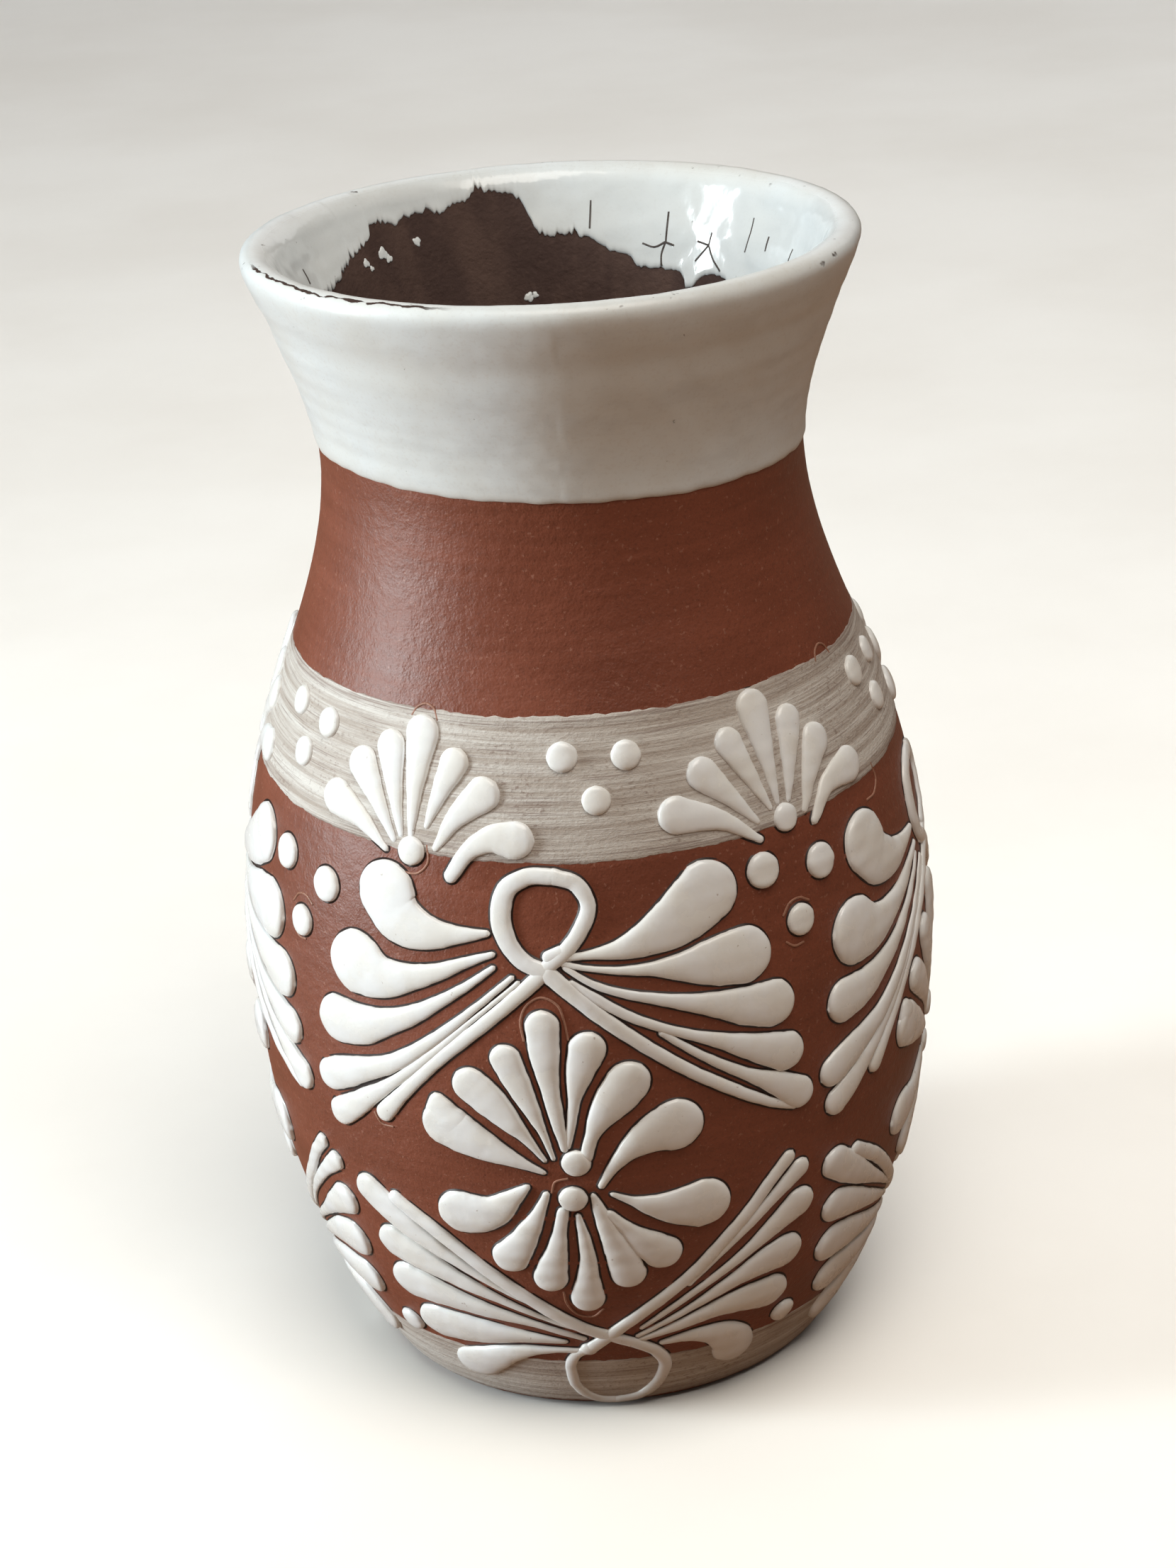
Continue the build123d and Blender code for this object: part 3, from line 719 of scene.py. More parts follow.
UPPER_BOW: tuple[Stroke, ...] = (
    # Loop: left limb over the top, then the right limb down to the crossing.
    ((-7.6, 93.9, 1.4), (-11.2, 96.0, 1.45), (-12.9, 98.2, 1.55), (-14.3, 103.5, 1.7),
     (-13.0, 107.6, 1.6), (-9.5, 109.4, 1.4), (-5.5, 109.4, 1.35)),
    ((-5.5, 109.4, 1.35), (-2.0, 108.2, 1.3), (-0.1, 104.9, 1.25), (-1.8, 100.2, 1.3),
     (-4.2, 97.2, 1.25), (-7.2, 94.6, 1.2)),
    ((-6.7, 96.4, 1.1), (-4.7, 97.2, 1.2)),
    # Ribbon ends.
    ((-8.0, 93.4, 1.3), (-14.3, 87.5, 1.2), (-20.5, 81.8, 1.15), (-25.0, 77.6, 1.1),
     (-30.0, 72.3, 1.15), (-33.0, 69.0, 1.3), (-36.6, 64.8, 1.7)),
    ((-7.0, 93.6, 1.5), (-3.5, 90.2, 1.35), (0.0, 86.8, 1.3), (5.0, 82.3, 1.2), (10.0, 78.0, 1.15),
     (15.0, 74.0, 1.1), (20.0, 70.4, 1.1), (25.0, 66.9, 1.0), (30.0, 63.9, 0.8), (32.8, 62.7, 0.8)),
    # Left wing, top to bottom.
    ((-16.7, 100.0, 0.6), (-22.0, 99.3, 1.6), (-27.5, 99.2, 3.1), (-32.2, 100.9, 4.6),
     (-34.8, 104.3, 5.4)),
    ((-15.8, 96.6, 0.5), (-20.0, 95.0, 0.9), (-25.0, 92.7, 1.5), (-30.0, 91.0, 2.3),
     (-35.0, 90.0, 3.6), (-40.5, 91.2, 5.6)),
    ((-15.8, 94.3, 0.5), (-20.0, 91.0, 0.75), (-25.0, 87.5, 1.1), (-30.0, 84.3, 1.7),
     (-35.0, 82.0, 2.4), (-40.0, 80.3, 3.6), (-45.0, 79.8, 4.3)),
    ((-12.8, 92.8, 0.5), (-20.0, 86.2, 0.7), (-25.0, 81.7, 1.0), (-30.0, 77.6, 1.3),
     (-35.0, 74.2, 1.7), (-40.0, 72.0, 2.2), (-45.0, 69.8, 2.9), (-48.0, 68.4, 2.9)),
    ((-11.8, 92.0, 0.4), (-20.0, 84.5, 0.45), (-25.0, 79.6, 0.7), (-30.0, 74.9, 0.9),
     (-35.0, 70.5, 1.1), (-40.0, 66.6, 1.8), (-43.5, 63.8, 2.3), (-46.5, 61.8, 2.6)),
    # Right wing, top to bottom.
    ((-5.0, 96.2, 0.6), (0.0, 96.6, 0.8), (5.0, 97.2, 1.8), (10.0, 98.8, 3.2), (15.0, 101.2, 4.6),
     (19.5, 104.2, 5.3)),
    ((-4.5, 95.2, 0.5), (0.0, 94.2, 0.5), (5.0, 93.5, 0.75), (10.0, 93.2, 1.3), (15.0, 92.8, 2.6),
     (20.0, 92.6, 4.1), (24.8, 92.5, 4.9)),
    ((-4.3, 94.6, 0.45), (0.0, 91.6, 0.6), (5.0, 89.5, 0.75), (10.0, 88.0, 1.0), (15.0, 86.5, 1.5),
     (20.0, 85.1, 2.3), (25.0, 83.6, 3.4), (29.3, 82.8, 4.1)),
    ((-3.3, 92.0, 0.5), (0.0, 89.4, 0.8), (5.0, 85.8, 0.85), (10.0, 83.1, 0.8), (15.0, 80.8, 0.9),
     (20.0, 78.6, 1.4), (25.0, 76.2, 2.3), (31.3, 73.4, 3.5)),
    ((10.3, 82.0, 0.6), (15.0, 78.0, 0.7), (20.0, 74.2, 0.9), (25.0, 70.8, 1.2), (30.0, 67.7, 2.2),
     (33.8, 64.8, 2.9)),
)
FLOWER: tuple[Stroke, ...] = (
    ((-4.3, 59.3, 2.45),),
    ((-5.2, 52.2, 2.4),),
    # Upper petals, left to right.
    ((-9.6, 57.4, 0.4), (-14.0, 59.6, 1.3), (-18.0, 61.5, 2.5), (-22.0, 63.5, 3.6),
     (-25.2, 65.2, 4.2)),
    ((-24.6, 65.2, 4.0), (-25.6, 67.2, 3.0), (-26.2, 69.2, 1.7)),
    ((-9.3, 59.8, 0.4), (-12.0, 64.0, 1.0), (-14.5, 67.2, 2.0), (-17.5, 70.7, 3.0),
     (-20.3, 73.3, 3.2)),
    ((-7.9, 60.2, 0.4), (-9.2, 65.0, 0.7), (-11.0, 70.0, 1.5), (-12.8, 74.5, 2.2),
     (-14.4, 78.6, 2.6)),
    ((-6.0, 62.0, 0.6), (-6.9, 68.0, 1.2), (-7.7, 74.0, 1.6), (-8.2, 80.0, 2.5),
     (-8.3, 84.6, 2.8)),
    ((-5.4, 62.5, 0.5), (-4.6, 67.0, 0.8), (-3.9, 71.5, 1.1), (-2.9, 76.0, 2.2), (-1.5, 80.4, 3.1)),
    ((-2.6, 60.5, 1.1), (-1.5, 64.5, 1.2), (0.5, 68.5, 2.4), (3.0, 71.8, 3.5), (4.6, 74.0, 3.7)),
    ((-0.5, 54.6, 0.6), (1.5, 58.0, 1.0), (4.0, 61.0, 1.8), (7.5, 63.5, 3.2), (11.8, 64.9, 4.7)),
    # Lower petals, left to right.
    ((-12.6, 54.3, 0.6), (-15.3, 51.8, 1.7), (-18.5, 49.0, 2.9), (-21.5, 48.0, 3.8),
     (-24.3, 47.8, 4.3)),
    ((-9.5, 53.0, 0.6), (-11.0, 49.2, 1.1), (-12.9, 45.5, 1.9), (-14.8, 42.2, 2.5),
     (-16.8, 39.4, 3.2)),
    ((-7.0, 49.5, 1.0), (-7.9, 45.0, 1.2), (-8.7, 41.0, 1.8), (-9.7, 37.5, 2.5),
     (-10.3, 35.1, 2.9)),
    ((-4.6, 48.6, 0.5), (-3.9, 44.0, 1.0), (-3.5, 39.0, 1.4), (-3.8, 34.5, 2.0), (-4.1, 30.4, 2.9)),
    ((-1.9, 52.6, 0.5), (-0.7, 48.5, 1.3), (0.6, 44.0, 1.8), (2.2, 39.5, 2.6), (3.3, 35.6, 3.0)),
    ((0.5, 48.5, 1.0), (2.7, 46.0, 1.2), (5.0, 43.4, 2.0), (7.5, 41.0, 3.0), (9.2, 39.5, 3.4)),
    ((1.2, 52.7, 0.4), (4.5, 51.0, 0.9), (8.0, 49.6, 2.1), (12.0, 48.7, 3.5), (16.2, 48.4, 4.8)),
)
LOWER_BOW: tuple[Stroke, ...] = (
    # Ribbon from its upper left end through the crossing into the loop's right limb.
    ((-37.3, 47.3, 1.5), (-30.0, 42.4, 1.5), (-25.0, 38.3, 1.4), (-20.0, 34.0, 1.35),
     (-15.0, 29.9, 1.3), (-10.0, 25.9, 1.3), (-5.0, 22.6, 1.25), (-1.0, 20.8, 1.2),
     (2.0, 19.3, 1.2),
     (4.8, 18.0, 1.2), (8.7, 15.2, 1.2), (10.7, 12.0, 1.2), (10.4, 8.5, 1.2), (8.5, 5.0, 1.2),
     (5.5, 2.8, 1.15), (0.0, 1.9, 1.05)),
    ((-4.9, 17.4, 1.1), (-7.3, 16.0, 0.95), (-9.0, 13.5, 1.0), (-9.3, 10.0, 1.0), (-8.8, 6.5, 1.0),
     (-6.5, 3.7, 1.0), (-3.5, 2.3, 1.0), (0.0, 1.9, 1.05)),
    ((-4.9, 17.4, 1.5),),
    ((-4.6, 17.6, 1.3), (-1.5, 20.0, 1.25), (0.0, 21.3, 1.25), (5.0, 25.3, 1.2), (10.0, 29.3, 1.2),
     (15.0, 33.6, 1.2), (20.0, 39.0, 1.2), (25.0, 44.5, 1.2), (28.5, 49.0, 1.2), (32.0, 52.7, 1.3)),
    # Left wing, top to bottom.
    ((-14.0, 28.0, 0.4), (-20.0, 31.5, 0.6), (-25.0, 34.8, 1.0), (-30.0, 38.0, 1.5),
     (-35.0, 41.3, 2.3), (-39.5, 44.6, 3.0), (-43.0, 47.2, 3.1)),
    ((-6.8, 22.5, 0.4), (-10.0, 23.8, 0.4), (-15.0, 26.2, 0.6), (-20.0, 28.6, 0.9),
     (-25.0, 30.9, 1.5), (-30.0, 33.1, 2.1), (-35.0, 35.2, 3.0), (-40.0, 36.9, 3.6)),
    ((-5.7, 20.1, 0.5), (-10.0, 21.8, 0.7), (-15.0, 23.6, 0.8), (-20.0, 24.9, 1.3),
     (-25.0, 26.0, 1.9), (-30.0, 27.1, 2.6), (-35.0, 28.0, 3.5), (-39.2, 28.4, 4.0)),
    ((-9.5, 19.2, 0.5), (-15.0, 19.9, 1.2), (-20.0, 20.1, 2.0), (-25.0, 20.0, 3.0),
     (-30.0, 19.8, 3.7), (-36.0, 19.5, 4.1)),
    ((-6.5, 16.9, 0.6), (-12.0, 16.9, 0.8), (-17.0, 16.3, 1.4), (-22.0, 14.6, 2.3),
     (-26.5, 12.4, 3.2), (-31.0, 10.2, 4.0)),
    # Right wing, top to bottom.
    ((14.3, 31.0, 0.5), (20.0, 36.5, 0.6), (25.0, 41.3, 1.0), (30.0, 45.9, 1.3), (34.5, 49.6, 1.9)),
    ((5.5, 21.9, 0.4), (10.0, 25.1, 0.6), (15.0, 28.6, 0.7), (20.0, 31.9, 0.9), (25.0, 35.3, 1.2),
     (30.0, 39.0, 2.0), (35.0, 42.2, 3.1)),
    ((4.8, 20.0, 0.45), (10.0, 22.6, 0.6), (15.0, 25.2, 0.8), (20.0, 27.9, 1.3), (25.0, 30.2, 2.0),
     (29.0, 31.6, 3.0), (33.2, 32.3, 3.7)),
    ((5.0, 18.9, 0.5), (10.0, 20.4, 0.9), (15.0, 22.0, 1.4), (20.0, 23.4, 2.0), (25.0, 24.0, 2.9),
     (31.5, 23.6, 3.8)),
    ((9.8, 17.4, 0.6), (14.0, 17.9, 1.1), (18.5, 17.6, 2.0), (22.5, 16.2, 3.1), (25.3, 13.8, 3.8),
     (26.3, 11.8, 4.0)),
)


@dataclass(frozen=True)
class Placing:
    """Where one copy of a motif goes: its CAD node, its shift, and the seed of its own hand."""

    node: str
    turn: float
    lift: float = 0.0
    seed: int = 0


@dataclass(frozen=True)
class Motif:
    """A group of strokes as laid at the front, and the places where the maker repeated it."""

    strokes: tuple[Stroke, ...]
    placings: tuple[Placing, ...]


MOTIFS: tuple[Motif, ...] = (
    Motif(FAN_LEFT, (
        Placing("shoulder_fan_2", 0.0), Placing("shoulder_fan_1", -65.5, 2.0, 11),
        Placing("shoulder_fan_5", 216.5, 0.0, 12))),
    Motif(FAN_RIGHT, (
        Placing("shoulder_fan_3", 0.0), Placing("shoulder_fan_4", 73.8, 0.0, 13))),
    Motif(SHOULDER_DROPS, (
        Placing("shoulder_dots_2", 0.0), Placing("shoulder_dots_1", -62.8, 0.3, 21),
        Placing("shoulder_dots_3", 71.4, -0.3, 22), Placing("shoulder_dots_4", 145.5, 0.2, 23),
        Placing("shoulder_dots_5", -136.5, 0.0, 24))),
    Motif(UPPER_BOW, (
        Placing("upper_bow_1", 0.0), Placing("upper_bow_2", 89.0, -2.3, 31),
        Placing("upper_bow_3", 180.0, -0.6, 32), Placing("upper_bow_4", -90.5, 0.0, 33))),
    Motif(BELLY_DROPS, (
        Placing("belly_dots_1", 0.0), Placing("belly_dots_2", 89.5, -1.5, 41),
        Placing("belly_dots_3", 180.0, -0.5, 42), Placing("belly_dots_4", -90.3, -0.9))),
    Motif(FLOWER, (
        Placing("flower_1", 0.0), Placing("flower_2", 89.0, -1.5, 51),
        Placing("flower_3", 180.5, 0.4, 52), Placing("flower_4", -89.5, 0.0, 53))),
    Motif(LOWER_BOW, (
        Placing("lower_bow_1", 0.0), Placing("lower_bow_2", 86.0, 0.0, 61),
        Placing("lower_bow_3", 180.0, 0.0, 62), Placing("lower_bow_4", -86.0, 0.0, 63))),
    Motif(FOOT_DROP, (
        Placing("foot_dot_1", 0.0), Placing("foot_dot_2", 93.5, 0.3, 71),
        Placing("foot_dot_3", 183.0, 0.0, 72), Placing("foot_dot_4", -82.0, 0.0, 73))),
)


@dataclass
class Piping:
    """Lays strokes of thick enamel on the wall.

    A stroke is a round nozzle's path. Its half width at a place along the path is the widest
    reach there of all the discs that the nozzle drew, so both of its ends are round. Across the
    path it is a dome, half width times cosine by height times a power of sine. A dark film a
    little wider than the dome runs all round it and carries a painted contact shadow where the
    stroke meets the clay. The closing side lies a little under the clay.
    """

    wall: Wall
    full_height: float = 1.3
    swell: float = 1.35            # half width at which a stroke has most of its full height
    sunk: float = 0.3
    over: int = 19                 # points across the dome
    shoulder: float = 0.68         # power of the sine: below 1 the dome has fuller shoulders
    # The film is a dark sheet round each stroke that carries a painted contact shadow.
    outline: float = 0.34          # the film's width beyond the dome
    film_height: float = 0.03
    thin_over: float = 0.4         # height above the film at which the enamel no longer looks thin
    smallest: float = 0.2          # smallest half width of a disc
    lowest: float = 0.5            # nothing is laid lower than this
    foot_depth: float = 0.8        # how far strokes follow the rounded foot in
    end_steps: int = 30
    steps_per_mm: float = 0.95
    hand_sway: tuple[float, float] = (0.35, 0.3)     # in degrees, and in height
    hand_size: float = 0.045       # share by which a copied stroke's width varies
    lowest_copy: float = 1.8

    def path(self, stroke: Stroke, along: np.ndarray) -> tuple[np.ndarray, ...]:
        """Follow a stroke's middle line and run on straight past its two ends.

        Args:
            stroke: Its stations.
            along: Distances from its first station, in millimetres.

        Returns:
            Degrees and heights of the line, and its direction as a share across and a share up.
        """
        degrees, heights, _ = np.array(stroke, float).T
        if len(stroke) == 1:
            steep = float(np.hypot(1, self.wall.slope(heights[0])))
            flat = np.zeros_like(along)
            return degrees[0] + flat, heights[0] + along / steep, flat, flat + 1.0
        knots = self.lengths(stroke)
        inside = np.clip(along, 0, knots[-1])
        angle = cubic_through(inside, knots, degrees)
        level = cubic_through(inside, knots, heights)
        step = 0.02
        ahead, behind = np.clip(inside + step, 0, knots[-1]), np.clip(inside - step, 0, knots[-1])
        radius = self.wall.radius(level)
        steep = np.hypot(1, self.wall.slope(level))
        across = np.radians(cubic_through(ahead, knots, degrees)
                            - cubic_through(behind, knots, degrees)) * radius
        up = (cubic_through(ahead, knots, heights) - cubic_through(behind, knots, heights)) * steep
        length = np.hypot(across, up)
        across, up = across / length, up / length
        beyond = along - inside
        return (angle + np.degrees(beyond * across / radius), level + beyond * up / steep,
                across, up)

    def lengths(self, stroke: Stroke) -> np.ndarray:
        """Distance of each station from the first, measured on the wall."""
        degrees, heights, _ = np.array(stroke, float).T
        middle = (heights[1:] + heights[:-1]) / 2
        across = np.radians(np.diff(degrees)) * self.wall.radius(middle)
        up = np.diff(heights) * np.hypot(1, self.wall.slope(middle))
        return np.concatenate([[0.0], np.cumsum(np.hypot(across, up))])

    def half_width(self, stroke: Stroke, along: np.ndarray, extra: float) -> np.ndarray:
        """Widest reach at each distance of the discs along the stroke: sqrt(w^2 - gap^2)."""
        widths = np.array(stroke, float)[:, 2] + extra
        if len(stroke) == 1:
            return np.sqrt(np.clip(widths[0] ** 2 - along ** 2, 0, None))
        knots = self.lengths(stroke)
        centres = np.linspace(0, knots[-1], 240)
        discs = np.maximum(cubic_through(centres, knots, widths), self.smallest)
        gap = along[:, None] - centres
        return np.sqrt(np.clip(discs ** 2 - gap ** 2, 0, None).max(axis=1))

    def section(self, along: np.ndarray, half: np.ndarray, film: np.ndarray,
                seed: int) -> tuple[np.ndarray, np.ndarray]:
        """Points across a stroke: over the dome, down to the film's edge, under the clay, and up.

        Args:
            along: Distances along the stroke.
            half: The dome's half width at each.
            film: The film's half width at each.
            seed: Picks the unevenness of the height and of the two sides.

        Returns:
            How far each point lies to the side of the path, and above the clay.
        """
        tall = self.full_height * (1 - np.exp(-half / self.swell))
        tall *= 1 + 0.05 * ripple(along, seed + 3, 9.0)
        turn = np.linspace(0, np.pi, self.over)[:, None]
        wavy = np.where(np.cos(turn) > 0, ripple(along, seed + 1, 5.0),
                        ripple(along, seed + 2, 5.0))
        dome_side = (half * np.cos(turn) * (1 + 0.02 * wavy)
                     + 0.04 * wavy * np.cos(turn) * (half > 0.3))
        dome = np.maximum(tall * np.sin(turn) ** self.shoulder, self.film_height)
        ends = np.clip(film * 4, 0, 1)          # brings the film down to the clay at both ends
        edge, low = self.film_height * ends, -self.sunk * ends
        return (np.concatenate([dome_side, [-film, -film, 0 * film, film, film]]),
                np.concatenate([dome, [edge, low, low, low, edge]]))

    def stroke_skin(self, stroke: Stroke, seed: int) -> Skin:
        """Sweep one stroke's section along its path and close the two ends."""
        wall = self.wall
        total = 0.0 if len(stroke) == 1 else float(self.lengths(stroke)[-1])
        steps = self.end_steps + int(total * self.steps_per_mm)
        start, end = -stroke[0][2] - self.outline, total + stroke[-1][2] + self.outline
        along = start + (end - start) * eased(steps)
        side, lift = self.section(along, self.half_width(stroke, along, 0.0),
                                  self.half_width(stroke, along, self.outline), seed)
        degrees, height, across, up = self.path(stroke, along)
        level = height + side * across / np.hypot(1, wall.slope(height))
        angle = degrees - np.degrees(side * up / wall.radius(level))
        level = np.maximum(level, self.lowest)
        tuck = wall.foot_tuck(level, self.foot_depth)
        grid = wall.on_wall(angle, level, lift - tuck)
        # 1 on the film, fading up the dome's lowest sides: the mask for the painted shade and the
        # painted contact shadow.
        thin = 1 - np.clip((lift - self.film_height) / self.thin_over, 0, 1)
        poles = [wall.on_wall(angle[0, k], level[0, k], -tuck[0, k]) for k in (0, -1)]
        inner = slice(1, -1)
        return Skin.closed(grid[:, inner], tuple(map(tuple, poles)), None, {"thin": thin[:, inner]})

    def lay(self, motif: Motif, placing: Placing, enamel: bpy.types.Material) -> bpy.types.Object:
        """Lay one copy of a motif, moved to its place and varied by its own hand.

        Args:
            motif: The motif.
            placing: The copy's place.
            enamel: Finish of the relief.

        Returns:
            The copy, as one piece of many closed strokes.
        """
        dice = np.random.default_rng(placing.seed)
        loose = 1.0 if placing.seed else 0.0
        skins = []
        for number, stroke in enumerate(motif.strokes):
            sway = dice.normal(0, self.hand_sway, (2, 2)) * loose
            size = 1 + dice.normal(0, self.hand_size) * loose
            share = np.linspace(0, 1, len(stroke))[:, None]
            drift = sway[0] * (1 - share) * 0.5 + sway[1] * share
            moved = tuple(
                (degrees + placing.turn + shift[0],
                 max(height + placing.lift + shift[1], self.lowest_copy), half * size)
                for (degrees, height, half), shift in zip(stroke, drift))
            skins.append(self.stroke_skin(moved, 1000 * placing.seed + 17 * number))
        item = Skin.together(skins).piece(f"piped_{placing.node}", [enamel])
        hand_over(item, "white_relief", placing.node)
        return item


# Lines scored in the slip beside the strokes: degrees and height, all of one width.
SCORED_HALF = 0.13
SCORED: tuple[Stroke, ...] = tuple(
    tuple((degrees, height, SCORED_HALF) for degrees, height in line) for line in (
        ((-11.3, 82.0), (-11.7, 85.2), (-10.6, 88.2), (-8.3, 89.6), (-5.8, 88.3), (-4.8, 85.2),
         (-4.4, 82.2)),
        ((-8.4, 31.6), (-7.9, 28.4), (-5.8, 26.0), (-3.6, 25.6), (-1.5, 27.4)),
        ((-33.6, 132.2), (-32.5, 133.6), (-30.7, 134.2), (-28.9, 133.6), (-27.9, 132.0)),
        ((-27.5, 113.0), (-27.2, 110.2), (-29.0, 108.4), (-31.8, 108.2)),
        ((32.9, 96.9), (34.5, 98.6), (36.5, 98.9), (38.4, 97.9)),
        ((-56.6, 92.3), (-55.0, 91.2), (-53.2, 91.3)),
        ((-8.6, 53.4), (-7.9, 55.5), (-5.8, 56.2)),
        ((-39.0, 64.0), (-37.7, 62.2), (-35.4, 62.2)),
    ))

SCORED_TURNS: tuple[float, ...] = (0.0, 89.5, 180.0, -90.0)

# Cracks in the glaze inside the lip: two stars near its torn edge and some single ones.
CRACKS: tuple[Stroke, ...] = (
    ((150.5, 187.4, 0.16), (150.8, 192.4, 0.05)),
    ((150.5, 187.5, 0.15), (153.4, 186.5, 0.14), (156.6, 187.0, 0.06)),
    ((150.6, 187.4, 0.2), (151.3, 185.4, 0.14), (151.0, 183.6, 0.08)),
    ((150.5, 187.4, 0.15), (148.2, 187.0, 0.05)),
    ((138.2, 187.7, 0.2), (137.9, 189.8, 0.05)),
    ((138.2, 187.7, 0.2), (141.4, 184.9, 0.1)),
    ((138.2, 187.7, 0.2), (136.2, 185.6, 0.14), (133.2, 183.9, 0.08)),
    ((138.2, 187.7, 0.15), (141.6, 188.1, 0.05)),
    ((170.2, 189.4, 0.04), (170.0, 194.0, 0.045)),
    ((126.2, 187.8, 0.04), (125.9, 190.7, 0.055), (126.1, 193.4, 0.04)),
    ((118.8, 188.9, 0.04), (119.0, 191.2, 0.04)),
    ((107.2, 186.5, 0.04), (106.7, 191.0, 0.05)),
    ((255.0, 190.2, 0.04), (254.7, 192.6, 0.04)),
    ((286.0, 190.5, 0.05), (286.4, 194.4, 0.06)),
)
CRACK_LEVEL = 0.38                # they lie this far above the bare clay, just under the glaze


@dataclass
class FineLines:
    """Thin raised lines on a wall: strokes of a much finer piping, repeated round the pot."""

    name: str
    slot: str
    wall: Wall
    lines: tuple[Stroke, ...]
    turns: tuple[float, ...] = (0.0,)
    full_height: float = 0.22

    def build(self, finish: bpy.types.Material) -> bpy.types.Object:
        """Lay every line at every turn and hand the piece over."""
        fine = Piping(self.wall, full_height=self.full_height, swell=0.12, sunk=0.15, over=9,
                      outline=0.0)
        skins = [
            fine.stroke_skin(tuple((angle + turn, height, half) for angle, height, half in line),
                             number)
            for turn in self.turns for number, line in enumerate(self.lines)]
        if isinstance(self.wall, InnerWall):
            skins = [skin.flipped() for skin in skins]
        item = Skin.together(skins).piece(self.name, [finish])
        hand_over(item, self.slot)
        return item


# ---- Shader parts --------------------------------------------------------------------------------

Socket = bpy.types.NodeSocket


class Bench:
    """Adds nodes to one tree and wires them."""

    def __init__(self, tree: bpy.types.NodeTree) -> None:
        """Work on a tree."""
        self.tree = tree

    def add(self, kind: str, **settings: object) -> bpy.types.Node:
        """Add a node and set its own settings."""
        node = self.tree.nodes.new(kind)
        for name, value in settings.items():
            setattr(node, name, value)
        return node

    def put(self, value: object, socket: Socket) -> None:
        """Wire a socket into another, or set a plain value on it."""
        if isinstance(value, bpy.types.NodeSocket):
            self.tree.links.new(value, socket)
        elif isinstance(value, tuple) and len(value) == 3 and len(socket.default_value) == 4:
            socket.default_value = (*value, 1.0)
        else:
            socket.default_value = value

    def math(self, operation: str, first: object, second: object = 0.0,
             third: object = 0.0) -> Socket:
        """One sum on values."""
        node = self.add("ShaderNodeMath", operation=operation)
        for value, socket in zip((first, second, third), node.inputs):
            self.put(value, socket)
        return node.outputs[0]

    def spread(self, value: object, low: object, high: object) -> Socket:
        """Stretch a value smoothly from 0 at low to 1 at high."""
        node = self.add("ShaderNodeMapRange", interpolation_type="SMOOTHSTEP")
        for item, name in ((value, "Value"), (low, "From Min"), (high, "From Max")):
            self.put(item, node.inputs[name])
        return node.outputs["Result"]

    def mix(self, share: object, first: object, second: object) -> Socket:
        """Blend two colours by a share."""
        node = self.add("ShaderNodeMix", data_type="RGBA")
        self.put(share, node.inputs[0])
        self.put(first, node.inputs[6])
        self.put(second, node.inputs[7])
        return node.outputs[2]

    def noise(self, place: Socket, scale: object, detail: float = 3.0,
              rough: float = 0.55) -> Socket:
        """Soft noise, about 0.3 to 0.7."""
        node = self.add("ShaderNodeTexNoise")
        self.put(place, node.inputs["Vector"])
        self.put(scale, node.inputs["Scale"])
        self.put(detail, node.inputs["Detail"])
        self.put(rough, node.inputs["Roughness"])
        return node.outputs[0]

    def place(self, stretch: tuple[float, float, float] = (1.0, 1.0, 1.0)) -> Socket:
        """Object coordinates in metres, stretched."""
        source = self.add("ShaderNodeTexCoord")
        node = self.add("ShaderNodeMapping")
        self.put(source.outputs["Object"], node.inputs["Vector"])
        node.inputs["Scale"].default_value = stretch
        return node.outputs["Vector"]

    def field(self, name: str) -> Socket:
        """One of the piece's own fields."""
        return self.add("ShaderNodeAttribute", attribute_name=name).outputs["Fac"]

    def bump(self, height: object, strength: float, distance: object,
             under: Socket | None = None) -> Socket:
        """Turn a height into a normal, over another normal where one is given."""
        node = self.add("ShaderNodeBump")
        self.put(height, node.inputs["Height"])
        self.put(strength, node.inputs["Strength"])
        self.put(distance, node.inputs["Distance"])
        if under is not None:
            self.put(under, node.inputs["Normal"])
        return node.outputs["Normal"]

    def times(self, first: object, second: object) -> Socket:
        """Product of two values."""
        return self.math("MULTIPLY", first, second)

    def times_plus(self, first: object, second: object, third: object) -> Socket:
        """Product of the first two values, plus the third."""
        return self.math("MULTIPLY_ADD", first, second, third)

    def effect(self, effect: "Effect", place: Socket, **values: object) -> Socket:
        """Use an effect, with its other values by socket name."""
        node = self.add("ShaderNodeGroup")
        node.node_tree = bpy.data.node_groups[effect.value]
        self.put(place, node.inputs["Place"])
        for name, value in values.items():
            self.put(value, node.inputs[name.capitalize()])
        return node.outputs[0]

    def grain(self, shader: bpy.types.Node, place: Socket, **values: float) -> None:
        """Raise the fired skin as a shader's normal."""
        self.put(self.effect(Effect.SKIN, place, **values), shader.inputs["Normal"])


class Effect(Enum):
    """The surface effects that several finishes share, each one a node group."""

    SPECKLE = "fine_speckle"
    STREAKS = "brush_streaks"
    MOTTLE = "soft_mottle"
    SKIN = "fired_skin"


